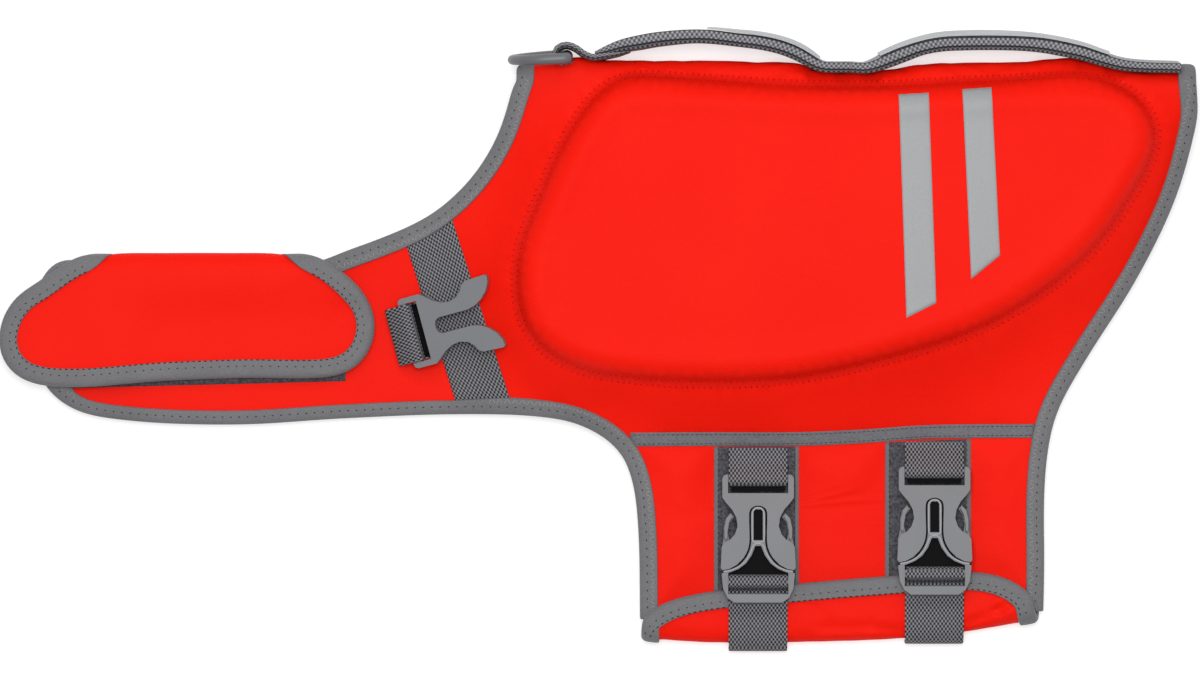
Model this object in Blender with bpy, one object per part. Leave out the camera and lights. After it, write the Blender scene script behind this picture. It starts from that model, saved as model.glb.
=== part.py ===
"""Dog life jacket: neoprene shell with two foam pads, folded along its spine and fastened.

It lies on its right side. The head end points along -X, the spine fold is at +Y and the folded belly at -Y.
The far side rests on z = 0. Sizes are in millimetres and are turned into metres where a mesh is made.
Each panel is worked out on its middle surface: a plan outline, a height for each point, a wall round it.
"""
import math

import bmesh
import bpy
import numpy as np
from mathutils import Vector
from mathutils.bvhtree import BVHTree
from mathutils.geometry import delaunay_2d_cdt

MM = 0.001

# Walls and layers
WALL = 3.0            # neoprene
HALF = WALL / 2
EDGE_HALF = 1.0       # half the neoprene's thickness where a binding squeezes it
GAP = 0.3             # between pieces that touch
RIBBON = 0.9          # binding ribbon, one layer
REACH = 5.6           # how far a binding reaches in over the panel
NOSE = 1.3            # how far a binding stands out from the panel's edge
WEB = 1.3             # webbing, one layer
WEB_WIDTH = 24.4
TAPE = 0.8            # hook and loop tape, seam tape

# Heights of the middle surfaces
FAR_MID = 1.5         # far wall, flat on the floor
FAR_PAD_TOP = 16.0    # inner face of the far pad
NEAR_PAD_TOP = 32.3   # outer face of the near pad
NEAR_LOW = 4.8        # near wall where it lies on the far wall
NEAR_HIGH = 20.5      # near wall at the stitching round its pad
EDGE_LIFT = 2.1       # extra height of the near wall's bound edges, which lie on the far bindings
FAR_LIFT = 0.7        # the same for the far wall
SPINE_Z = 14.0        # the seam along the spine
ROLL_DEPTH = 4.2      # how far the spine fold reaches in
ROLL_LENGTH = 12.0    # cloth in each quarter of the fold
FALL = 40.0           # how far out from its pad the near wall has come down
SPINE_HOLD = 0.9      # how much of the pad's height the spine keeps beside the pad
SPINE_REACH = 50.0
OPEN_EDGE = 8.0       # stiffness of the free edges beside the pad

# Belly overlap and neck flap: heights of their middle surfaces
WRAP_MID = 9.2
WRAP_ENDS = 1.8       # extra height of its ends, over the near bindings
WRAP_ROLL = 6.5       # how far its fold reaches in
FLAP_MID = 10.0
FLAP_OVER = 2.6       # extra height where it lies over the bindings of the neck band
FOLD_EDGE = 0.7       # extra height of their bound edges
FLAP_FOLD_Y = 31.4    # where the flap's fold begins
FLAP_ROLL = 4.2       # how far the fold reaches past that
NOTCH_Y = 28.0        # top of the far band, where the flap is sewn to it
NOTCH = (-209.6, -126.3)

# Outlines, columns x and y, millimetres. Each is the outer edge of the bound garment, in order.
NECK_TO_LEG = (
    (-34.5, 113.0), (-37.5, 100.0), (-43.0, 84.0), (-54.0, 67.0), (-71.0, 52.0), (-100.0, 39.3),
    (-108.0, 36.6), (-114.0, 33.8), (-119.0, 32.2), (-126.0, 31.4), (-165.0, 31.2), (-200.0, 31.2),
    (-208.0, 31.4), (-214.0, 32.4), (-220.0, 34.6), (-228.0, 32.6), (-233.6, 24.0), (-236.2, 10.0), (-236.5, -5.0),
    (-231.0, -19.0), (-219.0, -28.6), (-196.0, -33.0), (-150.0, -34.6), (-108.0, -32.1), (-60.0, -30.3),
    (-25.0, -31.3), (-8.0, -34.7), (8.3, -45.4), (13.8, -58.0), (16.2, -78.0), (17.0, -118.0),
)
REAR = (
    (247.5, 113.2), (250.0, 105.0), (247.0, 86.5), (239.3, 59.0), (223.0, 25.4), (202.0, -8.0),
    (190.0, -30.0), (186.0, -48.0), (184.7, -72.0), (185.0, -92.0), (184.0, -112.0),
)
SPINE = (
    (-40.0, 112.6), (-25.0, 113.3), (-14.0, 113.9), (-3.0, 114.8), (8.0, 116.2), (20.0, 116.7),
    (62.0, 116.4), (80.0, 114.2), (92.0, 111.7), (108.0, 111.2), (118.0, 112.3), (132.0, 115.3),
    (150.0, 116.0), (190.0, 115.4), (208.0, 114.0), (222.0, 111.6), (238.0, 111.0), (245.0, 111.4), (252.0, 111.8),
)
SIDE_SEAM = ((0.0, -41.2), (40.0, -40.9), (85.0, -40.8), (112.0, -39.6), (135.0, -38.0), (192.0, -37.4))
PAD = (
    (11.0, 110.2), (-1.0, 104.2), (-11.5, 91.0), (-20.0, 75.0), (-28.0, 56.0), (-34.0, 40.0), (-35.7, 24.0),
    (-33.0, 8.5), (-24.0, -4.0), (-8.0, -12.7), (12.0, -16.3), (44.0, -18.3), (82.0, -16.3), (126.0, -6.7),
    (158.0, 4.2), (184.0, 19.2), (205.5, 37.5), (222.0, 61.0), (231.0, 80.0), (230.3, 92.0), (222.5, 103.0),
    (205.0, 109.6), (163.0, 109.0), (118.0, 106.8), (80.0, 107.0), (45.0, 109.3),
)
FLAP = (
    (-209.0, 49.0), (-209.8, 41.0), (-213.5, 36.6), (-219.0, 34.0), (-225.0, 30.3), (-233.5, 24.2),
    (-242.0, 18.8), (-248.0, 10.0), (-250.0, 0.6), (-248.0, -8.3), (-241.7, -15.0), (-233.0, -18.0), (-217.0, -18.9),
    (-183.0, -16.3), (-150.0, -15.0), (-108.0, -13.8), (-98.8, -8.0), (-94.0, 3.0), (-94.6, 12.0),
    (-100.0, 21.8), (-108.0, 29.0), (-117.0, 34.6), (-122.5, 37.4), (-126.3, 42.0), (-127.0, 49.0),
)
WRAP_LINE = (
    (14.9, -119.4), (16.7, -116.4), (25.0, -110.0), (41.7, -105.3), (83.0, -101.2), (117.0, -98.4),
    (152.0, -96.3), (164.0, -97.4), (173.5, -101.0), (179.8, -106.4), (181.6, -112.0),
)
BELLY_FOLD = (
    (10.0, -123.6), (25.0, -125.2), (50.0, -126.3), (85.0, -126.0), (125.0, -124.6), (152.0, -121.8),
    (170.0, -118.8), (190.0, -115.8),
)

# Strips that lie on the near side: corners top left, top right, bottom left, bottom right
REFLECTIVE = (
    ("reflective_strip_front", (123.7, 102.2), (136.2, 102.9), (126.9, 9.5), (139.3, 15.7)),
    ("reflective_strip_rear", (150.1, 104.3), (162.2, 105.2), (153.7, 25.6), (165.7, 35.4)),
)
NECK_TAPE = ((-221.0, 20.0), (-106.0, 21.0), (-216.0, -19.4), (-106.0, -16.8))
SHOULDER_WEBBING = ((-78.2, 38.6), (-58.4, 48.3), (-61.9, -22.6), (-38.9, -22.8))
BELLY_TAPES = (("belly_loop_tape_front", 47.5, 82.9), ("belly_loop_tape_rear", 118.8, 154.6))
BELLY_TAPE_END = -110.0

# Buckles, both kinds: columns along (from the webbing bar) and across, half of a symmetric outline
MALE_HALF = (
    (0.0, 13.0), (0.4, 14.2), (1.6, 14.9), (9.6, 14.9), (11.6, 13.5), (14.6, 10.9), (18.0, 9.1),
    (21.6, 8.6), (25.0, 9.7), (27.2, 11.7), (28.4, 14.0), (30.2, 15.2), (39.0, 15.6), (39.9, 14.8), (39.5, 12.2),
    (37.8, 9.0), (35.0, 6.2), (31.8, 4.3), (28.4, 3.4), (15.6, 3.4), (13.9, 2.6), (13.2, 0.9),
)
MALE_SLOT = (7.8, 12.5)               # depth and half width; the bar crosses its open end
FORK_HALF = (
    (13.7, 0.8), (14.3, 2.3), (16.0, 3.0), (28.3, 3.0), (31.9, 3.9), (35.3, 5.8), (38.2, 8.6), (40.0, 11.9),
    (40.6, 14.9), (41.8, 15.2), (47.6, 14.6), (51.4, 12.8), (53.4, 10.0),
)
FORK_SLOT = (14.6, 27.4, 1.9)
FORK_MOUTH = ((29.8, 1.2), (33.8, 2.8), (37.2, 5.2), (39.4, 8.2), (40.7, 11.4), (41.1, 12.5), (43.2, 12.5))
FORK_LOOP = (45.9, 49.9, 12.5)
BASE_HALF = (
    (15.8, 11.4), (18.0, 13.4), (22.0, 14.3), (26.0, 14.3), (29.6, 15.0), (43.4, 15.0), (43.4, 12.7),
    (40.6, 12.7), (39.6, 10.0), (29.6, 10.0), (27.2, 12.0), (24.0, 12.6), (20.0, 11.9), (17.4, 10.0),
)
HORN_HALF = (
    (16.4, 11.5), (18.1, 13.1), (22.1, 14.0), (26.0, 14.0), (27.3, 13.5), (26.4, 12.9), (24.0, 12.85),
    (20.0, 12.2), (17.5, 10.7),
)
POST_HALF = ((41.9, 12.9), (43.0, 12.9), (43.0, 14.6), (41.9, 14.6))
BASE_DEEP = -3.2      # underside of the base below the male half
BUCKLE_HALF = 1.8     # half the thickness of a buckle half
BAR_RADIUS = 1.5
BAR_SIDES = 10
BAR_AT = 1.8          # its middle, from the end of the male half
BUCKLE_MIDDLE = 26.7

# Belly buckles: x, y and z of the middle of each, and how far its lower webbing stands out at the fold
BELLY_BUCKLES = (("front", 65.8, -82.3, 14.2, 1.6), ("rear", 139.2, -79.0, 14.1, 0.4))
BUCKLE_TILT = math.radians(5.6)
WEB_RIDE = GAP + WEB / 2 + 0.1        # from a bar's face to the middle of the webbing round it
# Lower webbing in the plane across a buckle, columns along and up: round the window bar, under the end bar
LOWER_WRAP = (
    (44.5, -2.85), (43.3, -2.8), (42.3, -2.2), (42.15, -0.8), (42.25, 1.6), (43.2, 2.85), (45.9, 2.85),
    (46.85, 1.6), (47.1, -0.6), (47.7, -2.0), (49.2, -2.8), (51.6, -2.85), (54.6, -3.0),
)

# Shoulder buckle: its end, x, y and z of the bar's middle, its turn in plan and its slope up the pad
SHOULDER_END = (-80.5, 2.7)
SHOULDER_TURN = math.radians(15.0)
SHOULDER_PITCH = math.radians(12.8)
SHOULDER_BAR_Z = 12.4

# Spine webbing, columns: x, y of the middle, thickness, tilt in degrees
FRONT_HANDLE = (
    (-2.0, 120.1, 1.6, 0.0), (3.0, 121.5, 3.6, 0.0), (9.0, 123.4, 4.8, 0.0), (16.7, 124.7, 5.2, 0.5),
    (25.0, 126.0, 5.2, 1.0), (41.7, 127.0, 5.2, 2.0), (58.3, 125.9, 5.2, 3.0), (66.7, 125.0, 5.2, 3.5),
    (75.0, 123.2, 5.2, 4.0), (83.3, 120.3, 5.2, 4.5), (88.5, 117.3, 4.9, 5.0), (94.0, 114.8, 4.6, 5.0),
    (98.0, 114.3, 4.6, 5.0), (103.5, 114.3, 4.6, 5.0),
)
REAR_HANDLE = (
    (104.3, 114.3, 4.6, 5.0), (109.0, 114.4, 4.6, 5.0), (117.0, 117.0, 4.9, 5.0), (125.0, 120.3, 5.2, 5.5),
    (133.3, 122.8, 5.2, 6.0), (141.7, 124.5, 5.2, 6.5), (152.0, 125.6, 5.2, 7.0), (163.0, 125.7, 5.2, 7.0),
    (175.0, 125.0, 5.2, 6.5), (184.0, 124.0, 5.2, 6.0), (192.5, 122.4, 5.2, 6.0), (201.0, 120.2, 5.0, 6.0),
    (209.0, 117.6, 4.6, 5.5), (217.0, 115.4, 4.2, 5.0), (225.0, 114.5, 4.2, 5.0), (239.2, 114.0, 4.2, 5.0),
)
HANDLE_HALF = 12.2
HANDLE_FACINGS = (("front_handle_facing", 25.0, 88.0), ("rear_handle_facing", 117.0, 208.0))
FACING = 0.6
RING_LOOP = (
    (1.0, 116.35), (-3.0, 115.8), (-9.0, 115.1), (-13.5, 114.95), (-16.8, 115.6), (-18.4, 118.2),
    (-17.2, 121.1), (-14.0, 122.4), (-10.5, 121.5), (-7.0, 119.3), (-3.0, 118.0), (1.0, 118.2), (6.5, 118.7),
)

# D-ring: straight bar inside the webbing loop, bow towards -X
RING_BAR = (-13.6, 118.2)
RING_REACH = 23.0     # from the bar's middle to the middle of the bow
RING_HALF = 14.0      # half the distance between its side arms
RING_CORNER = 1.6
RING_Z = 15.8
RING_ARM = 9.0
RING_ROD = 1.4
RING_TILT = math.radians(4.0)
RING_SLOPE = math.radians(3.2)

RED = (0.93, 0.045, 0.015)
GREY = (0.16, 0.165, 0.17)
PALE = (0.52, 0.52, 0.52)
DARK = (0.055, 0.057, 0.06)
FINISHES = {
    "neoprene": (RED, 0.75), "binding": (GREY, 0.85), "webbing": (GREY, 0.8), "loop_tape": (DARK, 0.95),
    "reflective": (PALE, 0.45), "plastic": (GREY, 0.5),
}


# ---------------------------------------------------------------- curves

def smooth(t):
    """0 to 1 with level ends."""
    t = min(max(t, 0.0), 1.0)
    return t * t * (3 - 2 * t)


def curve(points, step, closed=False):
    """A smooth curve through the points, as points about one step apart."""
    pts = [np.array(p, float) for p in points]
    count = len(pts)
    spans = count if closed else count - 1
    fine = []
    for i in range(spans):
        here, there = pts[i], pts[(i + 1) % count]
        before = pts[i - 1] if closed or i else 2 * here - there
        after = pts[(i + 2) % count] if closed or i + 2 < count else 2 * there - here
        knots = [0.0]
        for a, b in ((before, here), (here, there), (there, after)):
            knots.append(knots[-1] + max(np.linalg.norm(b - a), 1e-6) ** 0.5)
        for t in np.linspace(knots[1], knots[2], 12, endpoint=False):
            rows = [before, here, there, after]
            for span in (1, 2, 3):
                low, high = ((0, 1), (0, 2), (1, 2))[span - 1]
                joined = []
                for j in range(len(rows) - 1):
                    start, end = knots[low + j], knots[high + j]
                    joined.append(((end - t) * rows[j] + (t - start) * rows[j + 1]) / (end - start))
                rows = joined
            fine.append(rows[0])
    fine.append(pts[0] if closed else pts[-1])
    fine = np.array(fine)
    return resample(fine, step)


def resample(fine, step):
    along = np.concatenate([[0.0], np.cumsum(np.linalg.norm(np.diff(fine, axis=0), axis=1))])
    count = max(2, int(round(along[-1] / step)) + 1)
    at = np.linspace(0.0, along[-1], count)
    return np.stack([np.interp(at, along, fine[:, k]) for k in range(fine.shape[1])], axis=1)


def offset(line, distance):
    """The line moved to its left, seen along it."""
    ahead = np.gradient(line, axis=0)
    ahead /= np.linalg.norm(ahead, axis=1)[:, None]
    return line + distance * np.stack([-ahead[:, 1], ahead[:, 0]], axis=1)


def height_line(points):
    """y at any x, through the points."""
    fine = curve(points, 1.5)
    return lambda x: float(np.interp(x, fine[:, 0], fine[:, 1]))


def distance(line, x, y):
    """How far a point is from a line of points."""
    start, end = line[:-1], line[1:]
    run = end - start
    t = ((x - start[:, 0]) * run[:, 0] + (y - start[:, 1]) * run[:, 1]) / (run ** 2).sum(axis=1)
    near = start + np.clip(t, 0, 1)[:, None] * run
    return float(np.hypot(near[:, 0] - x, near[:, 1] - y).min())


def within(loop, x, y):
    """Whether a point is inside a closed loop."""
    after = np.roll(loop, -1, axis=0)
    crosses = (loop[:, 1] > y) != (after[:, 1] > y)
    rise = np.where(crosses, after[:, 1] - loop[:, 1], 1.0)
    at = loop[:, 0] + (y - loop[:, 1]) * (after[:, 0] - loop[:, 0]) / rise
    return bool((crosses & (x < at)).sum() % 2)


# ---------------------------------------------------------------- objects

def finish(name):
    material = bpy.data.materials.get(name)
    if material:
        return material
    colour, roughness = FINISHES[name]
    material = bpy.data.materials.new(name)
    material.use_nodes = True
    shader = material.node_tree.nodes["Principled BSDF"]
    shader.inputs["Base Color"].default_value = (*colour, 1)
    shader.inputs["Roughness"].default_value = roughness
    material.diffuse_color = (*colour, 1)
    return material


def add_object(name, points, faces, material, origin=None):
    """An object from points in millimetres, facing out, with its origin where asked."""
    place = Vector(origin or (0, 0, 0)) * MM
    mesh = bpy.data.meshes.new(name)
    mesh.from_pydata([Vector(p) * MM - place for p in points], [], faces)
    shape = bmesh.new()
    shape.from_mesh(mesh)
    bmesh.ops.recalc_face_normals(shape, faces=shape.faces)
    if shape.calc_volume(signed=True) < 0:
        bmesh.ops.reverse_faces(shape, faces=shape.faces)
    shape.to_mesh(mesh)
    shape.free()
    mesh.materials.append(finish(material))
    mesh.shade_smooth()
    mesh.set_sharp_from_angle(angle=math.radians(40))
    thing = bpy.data.objects.new(name, mesh)
    thing.location = place
    bpy.context.scene.collection.objects.link(thing)
    return thing


def triangles(points, loop_count, creases):
    """Triangles between points of an outline, the first loop_count of them going round it."""
    edges = [(i, (i + 1) % loop_count) for i in range(loop_count)] + creases
    found = delaunay_2d_cdt([Vector(p) for p in points], edges, [], 0, 1e-7)
    source = [origins[0] for origins in found[3]]
    loop = np.array(points[:loop_count])
    kept = []
    for face in found[2]:
        corners = [source[i] for i in face]
        centre = np.mean([points[i] for i in corners], axis=0)
        if within(loop, centre[0], centre[1]):
            kept.append(corners)
    return kept


def wall(name, loop, front, back, front_inside, back_inside, material, front_creases=(), back_creases=()):
    """A closed wall: a skin each side of an outline, each with its own inner points, and a rim between.

    Creases are runs of inner points that stay joined by edges: (points, whether the run is closed).
    """
    count = len(loop)
    points = [front(*p) for p in loop] + [back(*p) for p in loop]
    faces = [(i, (i + 1) % count, count + (i + 1) % count, count + i) for i in range(count)]
    for side, inside, creases in ((front, front_inside, front_creases), (back, back_inside, back_creases)):
        start = len(points)
        flat = [tuple(p) for p in loop]
        links = []
        for run, closed in creases:
            first = len(flat)
            flat += [tuple(p) for p in run]
            links += [(first + i, first + (i + 1) % len(run)) for i in range(len(run) - (not closed))]
        flat += [tuple(p) for p in inside]
        points += [side(*p) for p in flat[count:]]
        base = 0 if side is front else count
        index = [base + i for i in range(count)] + [start + i for i in range(len(flat) - count)]
        faces += [tuple(index[i] for i in face) for face in triangles(flat, count, links)]
    return add_object(name, points, faces, material)


def grid_points(loop, step, clear, keep_from=()):
    """A staggered grid inside a loop, clear of its edge and of other points."""
    low, high = loop.min(axis=0), loop.max(axis=0)
    ring = np.vstack([loop, loop[:1]])
    others = np.array(keep_from) if len(keep_from) else np.zeros((0, 2))
    found = []
    for row in range(int((high[1] - low[1]) / (step * 0.87)) + 1):
        y = low[1] + step * 0.43 + row * step * 0.87
        for column in range(int((high[0] - low[0]) / step) + 1):
            x = low[0] + step * (0.3 + 0.5 * (row % 2)) + column * step
            if not within(loop, x, y) or distance(ring, x, y) < clear:
                continue
            if len(others) and np.hypot(others[:, 0] - x, others[:, 1] - y).min() < clear:
                continue
            found.append((x, y))
    return found


def sweep(name, sections, material, closed=False, origin=None):
    """Sections of equal point counts joined into one closed body."""
    size = len(sections[0])
    points = [p for section in sections for p in section]
    faces = []
    last = len(sections) if closed else len(sections) - 1
    for i in range(last):
        a, b = i * size, ((i + 1) % len(sections)) * size
        faces += [(a + j, a + (j + 1) % size, b + (j + 1) % size, b + j) for j in range(size)]
    if not closed:
        faces += [tuple(range(size)), tuple((len(sections) - 1) * size + j for j in range(size))]
    return add_object(name, points, faces, material, origin)


def normal_at(surface, x, y, step=0.25):
    """The unit normal of a surface given by surface(x, y), facing up or out along +Y."""
    across = surface(x + step, y) - surface(x - step, y)
    along = surface(x, y + step) - surface(x, y - step)
    found = np.cross(across, along)
    length = np.linalg.norm(found)
    return found / length if length > 1e-9 else np.array([0.0, 0.0, 1.0])


# ---------------------------------------------------------------- outlines

FINE = 3.0
neck_to_leg = offset(curve(NECK_TO_LEG, FINE), NOSE)
rear = offset(curve(REAR, FINE), -NOSE)
spine_y = height_line(SPINE)
seam_y = height_line(SIDE_SEAM)
fold_y = height_line(BELLY_FOLD)
pad = curve(PAD, 7.0, closed=True)[:-1]
pad_ring = np.vstack([pad, pad[:1]])
edges_near = [neck_to_leg, rear]


def cut_at_seam(line):
    """The stretch of a side edge above the side seam, and the one below it."""
    below = [i for i, (x, y) in enumerate(line) if y < seam_y(x) and x > -8]
    split = below[0]
    a, b = line[split - 1], line[split]
    fall_a, fall_b = a[1] - seam_y(a[0]), b[1] - seam_y(b[0])
    corner = a + (b - a) * fall_a / (fall_a - fall_b)
    return np.vstack([line[:split], corner]), np.vstack([corner, line[split:]])


def pad_depth(x, y):
    """How far inside the pad's stitching a point is; negative outside."""
    out = distance(pad_ring, x, y)
    return out if within(pad, x, y) else -out


def bulge(depth, edge, crown):
    """Rise of a foam pad, 0 at its stitching and 1 at its middle."""
    if depth <= 0:
        return 0.0
    near = min(depth / edge, 1.0)
    return 0.86 * math.sqrt(1 - (1 - near) ** 2) + 0.14 * smooth(depth / crown)


def edge_blend(edge):
    """1 along a bound edge, 0 inside it."""
    return 1 - smooth((edge - REACH - 0.5) / 5.0)


# ---------------------------------------------------------------- near side

def near_edge(x, y):
    return min(distance(line, x, y) for line in edges_near)


def near_level(x, y):
    """Height of the near wall's middle surface over a plan point."""
    out = max(0.0, -pad_depth(x, y))
    edge = near_edge(x, y)
    reach = max(0.0, 1 - out / FALL) ** 1.5
    room = (edge + OPEN_EDGE) / (edge + OPEN_EDGE + out)
    share = reach * room / (reach + room - reach * room + 1e-9)
    held = SPINE_HOLD * max(0.0, 1 - max(0.0, spine_y(x) - y) / SPINE_REACH) ** 1.5
    share = 1 - (1 - share) * (1 - held)
    return NEAR_LOW + (NEAR_HIGH - NEAR_LOW) * share + EDGE_LIFT * edge_blend(edge) * (1 - share)


def roll_point(x, t, top, start):
    """A point in a quarter of the spine fold: t from 0 at the seam to ROLL_LENGTH at its inner end."""
    angle = t / ROLL_LENGTH * math.pi / 2
    y = spine_y(x) - HALF - ROLL_DEPTH * (1 - math.cos(angle))
    return np.array([x, y, start + (top - start) * math.sin(angle)])


def flat_start(x):
    """y where the spine fold ends and the side of the jacket begins."""
    return spine_y(x) - HALF - ROLL_DEPTH


def near_middle(x, v):
    """The near wall's middle surface. v is y below the fold, and runs on along the cloth through it."""
    begin = flat_start(x)
    if v <= begin:
        return np.array([x, v, near_level(x, v)])
    return roll_point(x, max(0.0, ROLL_LENGTH - (v - begin)), near_level(x, begin), SPINE_Z + GAP / 2)


def near_half(x, v):
    return HALF - (HALF - EDGE_HALF) * edge_blend(near_edge(x, min(v, spine_y(x) - 2)))


def near_outer(x, v):
    depth = pad_depth(x, v) if v <= flat_start(x) else 0.0
    rise = (NEAR_PAD_TOP - NEAR_HIGH - HALF) * bulge(depth, 9.0, 45.0)
    return near_middle(x, v) + normal_at(near_middle, x, v) * (near_half(x, v) + rise)


def near_inner(x, v):
    depth = pad_depth(x, v) if v <= flat_start(x) else 0.0
    drop = (NEAR_HIGH - HALF - FAR_PAD_TOP - GAP) * bulge(depth, 9.0, 45.0)
    return near_middle(x, v) - normal_at(near_middle, x, v) * (near_half(x, v) + drop)


# ---------------------------------------------------------------- far side

FAR_INSET = 1.6
edges_far = [offset(neck_to_leg, FAR_INSET), offset(rear, -FAR_INSET)]


def far_edge(x, y):
    return min(distance(line, x, y) for line in edges_far)


def far_middle(x, v):
    begin = flat_start(x)
    lift = FAR_LIFT * edge_blend(far_edge(x, min(v, begin)))
    if v <= begin:
        return np.array([x, v, FAR_MID + lift])
    return roll_point(x, max(0.0, ROLL_LENGTH - (v - begin)), FAR_MID + lift, SPINE_Z - GAP / 2)


def far_normal(x, v):
    """Unit normal of the far wall, facing out of the garment: down, or along +Y in the fold."""
    if v <= flat_start(x):
        return np.array([0.0, 0.0, -1.0])
    return -normal_at(far_middle, x, v)


def far_half(x, v):
    return HALF - (HALF - EDGE_HALF) * edge_blend(far_edge(x, min(v, spine_y(x) - 2)))


def far_outer(x, v):
    return far_middle(x, v) + far_normal(x, v) * far_half(x, v)


def far_inner(x, v):
    depth = pad_depth(x, v) if v <= flat_start(x) else 0.0
    rise = (FAR_PAD_TOP - WALL) * bulge(depth, 9.0, 45.0)
    return far_middle(x, v) - far_normal(x, v) * (far_half(x, v) + rise)


# ---------------------------------------------------------------- belly overlap and neck flap

wrap_line = offset(curve(WRAP_LINE, FINE), -NOSE)
flap_line = offset(curve(FLAP, FINE), NOSE)
WRAP_LENGTH = math.pi * (WRAP_ROLL - HALF + (WRAP_MID - FAR_MID) / 2) / 2
FLAP_LENGTH = math.pi * (FLAP_ROLL + (FLAP_MID + FLAP_OVER - FAR_MID) / 2) / 2


def half_turn(share, reach, top, bottom):
    """How far out a fold is, and how high, from its top (0) round to its bottom (1)."""
    angle = share * math.pi
    return reach * math.sin(angle), (top + bottom) / 2 + (top - bottom) / 2 * math.cos(angle)


def wrap_level(x, y):
    ends = max(smooth((36 - x) / 11), smooth((x - 165) / 9))
    return WRAP_MID + FOLD_EDGE * edge_blend(distance(wrap_line, x, y)) + WRAP_ENDS * ends


def wrap_middle(x, v):
    """The belly panel's middle surface: v runs from the far seam (lowest) through the fold (0) and up."""
    start = fold_y(x) + WRAP_ROLL
    if v >= 0:
        return np.array([x, start + v, wrap_level(x, start + v)])
    bottom = FAR_MID + FAR_LIFT * edge_blend(far_edge(x, start))
    if v > -WRAP_LENGTH:
        out, z = half_turn(-v / WRAP_LENGTH, WRAP_ROLL - HALF, wrap_level(x, start), bottom)
        return np.array([x, start - out, z])
    y = start - v - WRAP_LENGTH
    return np.array([x, y, FAR_MID + FAR_LIFT * edge_blend(far_edge(x, y))])


def wrap_normal(x, v):
    """Outward: up on the near part, down on the far part."""
    return normal_at(wrap_middle, x, v)


def wrap_half(x, v):
    start = fold_y(x) + WRAP_ROLL
    edge = distance(wrap_line, x, start + v) if v >= 0 else far_edge(x, start)
    if v < -WRAP_LENGTH:
        edge = far_edge(x, start - v - WRAP_LENGTH)
    return HALF - (HALF - EDGE_HALF) * edge_blend(edge)


def wrap_outer(x, v):
    return wrap_middle(x, v) + wrap_normal(x, v) * wrap_half(x, v)


def wrap_inner(x, v):
    return wrap_middle(x, v) - wrap_normal(x, v) * wrap_half(x, v)


def flap_level(x, y):
    over = max(smooth((y - 14) / 9), smooth((-186 - x) / 12))
    return FLAP_MID + FOLD_EDGE * edge_blend(distance(flap_line, x, y)) + FLAP_OVER * over


def flap_middle(x, v):
    """The flap's middle surface: v is y below its fold, and runs on round the fold to its seam."""
    if v <= FLAP_FOLD_Y:
        return np.array([x, v, flap_level(x, v)])
    edge = FAR_LIFT * edge_blend(distance(flap_line, x, v))
    run = v - FLAP_FOLD_Y
    if run <= FLAP_LENGTH:
        out, z = half_turn(run / FLAP_LENGTH, FLAP_ROLL, flap_level(x, FLAP_FOLD_Y), FAR_MID + edge)
        return np.array([x, FLAP_FOLD_Y + out, z])
    return np.array([x, FLAP_FOLD_Y - run + FLAP_LENGTH, FAR_MID + edge])


def flap_half(x, v):
    return HALF - (HALF - EDGE_HALF) * edge_blend(distance(flap_line, x, v))


def flap_outer(x, v):
    return flap_middle(x, v) + normal_at(flap_middle, x, v) * flap_half(x, v)


def flap_inner(x, v):
    return flap_middle(x, v) - normal_at(flap_middle, x, v) * flap_half(x, v)


# ---------------------------------------------------------------- panels

def rail(path, side, reach, follow=None):
    """A path moved into the panel beside it. side is 1 where the panel is on the path's left.

    follow gives y at any x of the line that points above it keep their distance from.
    """
    path = np.array(path, float)
    ahead = np.gradient(path, axis=0)
    ahead /= np.linalg.norm(ahead, axis=1)[:, None]
    for _ in range(2):
        ahead[1:-1] = (ahead[:-2] + 2 * ahead[1:-1] + ahead[2:]) / 4
    ahead /= np.linalg.norm(ahead, axis=1)[:, None]
    moved = path + side * reach * np.stack([-ahead[:, 1], ahead[:, 0]], axis=1)
    if follow:
        for p, q in zip(path, moved):
            if p[1] >= follow(p[0]) - 0.01:
                q[1] = p[1] + follow(q[0]) - follow(p[0])
    return moved


def hem_runs(loop, rails, clear=2.6):
    """The stretches of rails that are well inside a loop."""
    ring = np.vstack([loop, loop[:1]])
    runs = []
    for line in rails:
        run = []
        for p in (tuple(p) for p in line):
            if not within(loop, *p) or distance(ring, *p) < clear:
                runs.append(run)
                run = []
            elif not run or math.dist(p, run[-1]) > 1.0:
                run.append(p)
        runs.append(run)
    return [(run, False) for run in runs if len(run) > 1]


def points_of(runs):
    return [p for run, _ in runs for p in run]


def side_edge(line, step):
    """An edge from the spine seam down, as points of the cloth: through the fold, then in plan."""
    line = resample(line, step)
    x = line[0][0]
    begin = flat_start(x)
    fold = [(x, begin + ROLL_LENGTH * k) for k in (1.0, 0.75, 0.5, 0.25, 0.0)]
    return np.array(fold + [tuple(p) for p in line if p[1] < begin - 2])


def seam_run(start, end, side):
    """The side seam between two corners, on one side of it."""
    inset = REACH + 0.4
    xs = [start[0] + inset, *np.linspace(start[0], end[0], 17)[2:-2], end[0] - inset]
    return [(x, seam_y(x) + side * GAP / 2) for x in xs]


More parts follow.
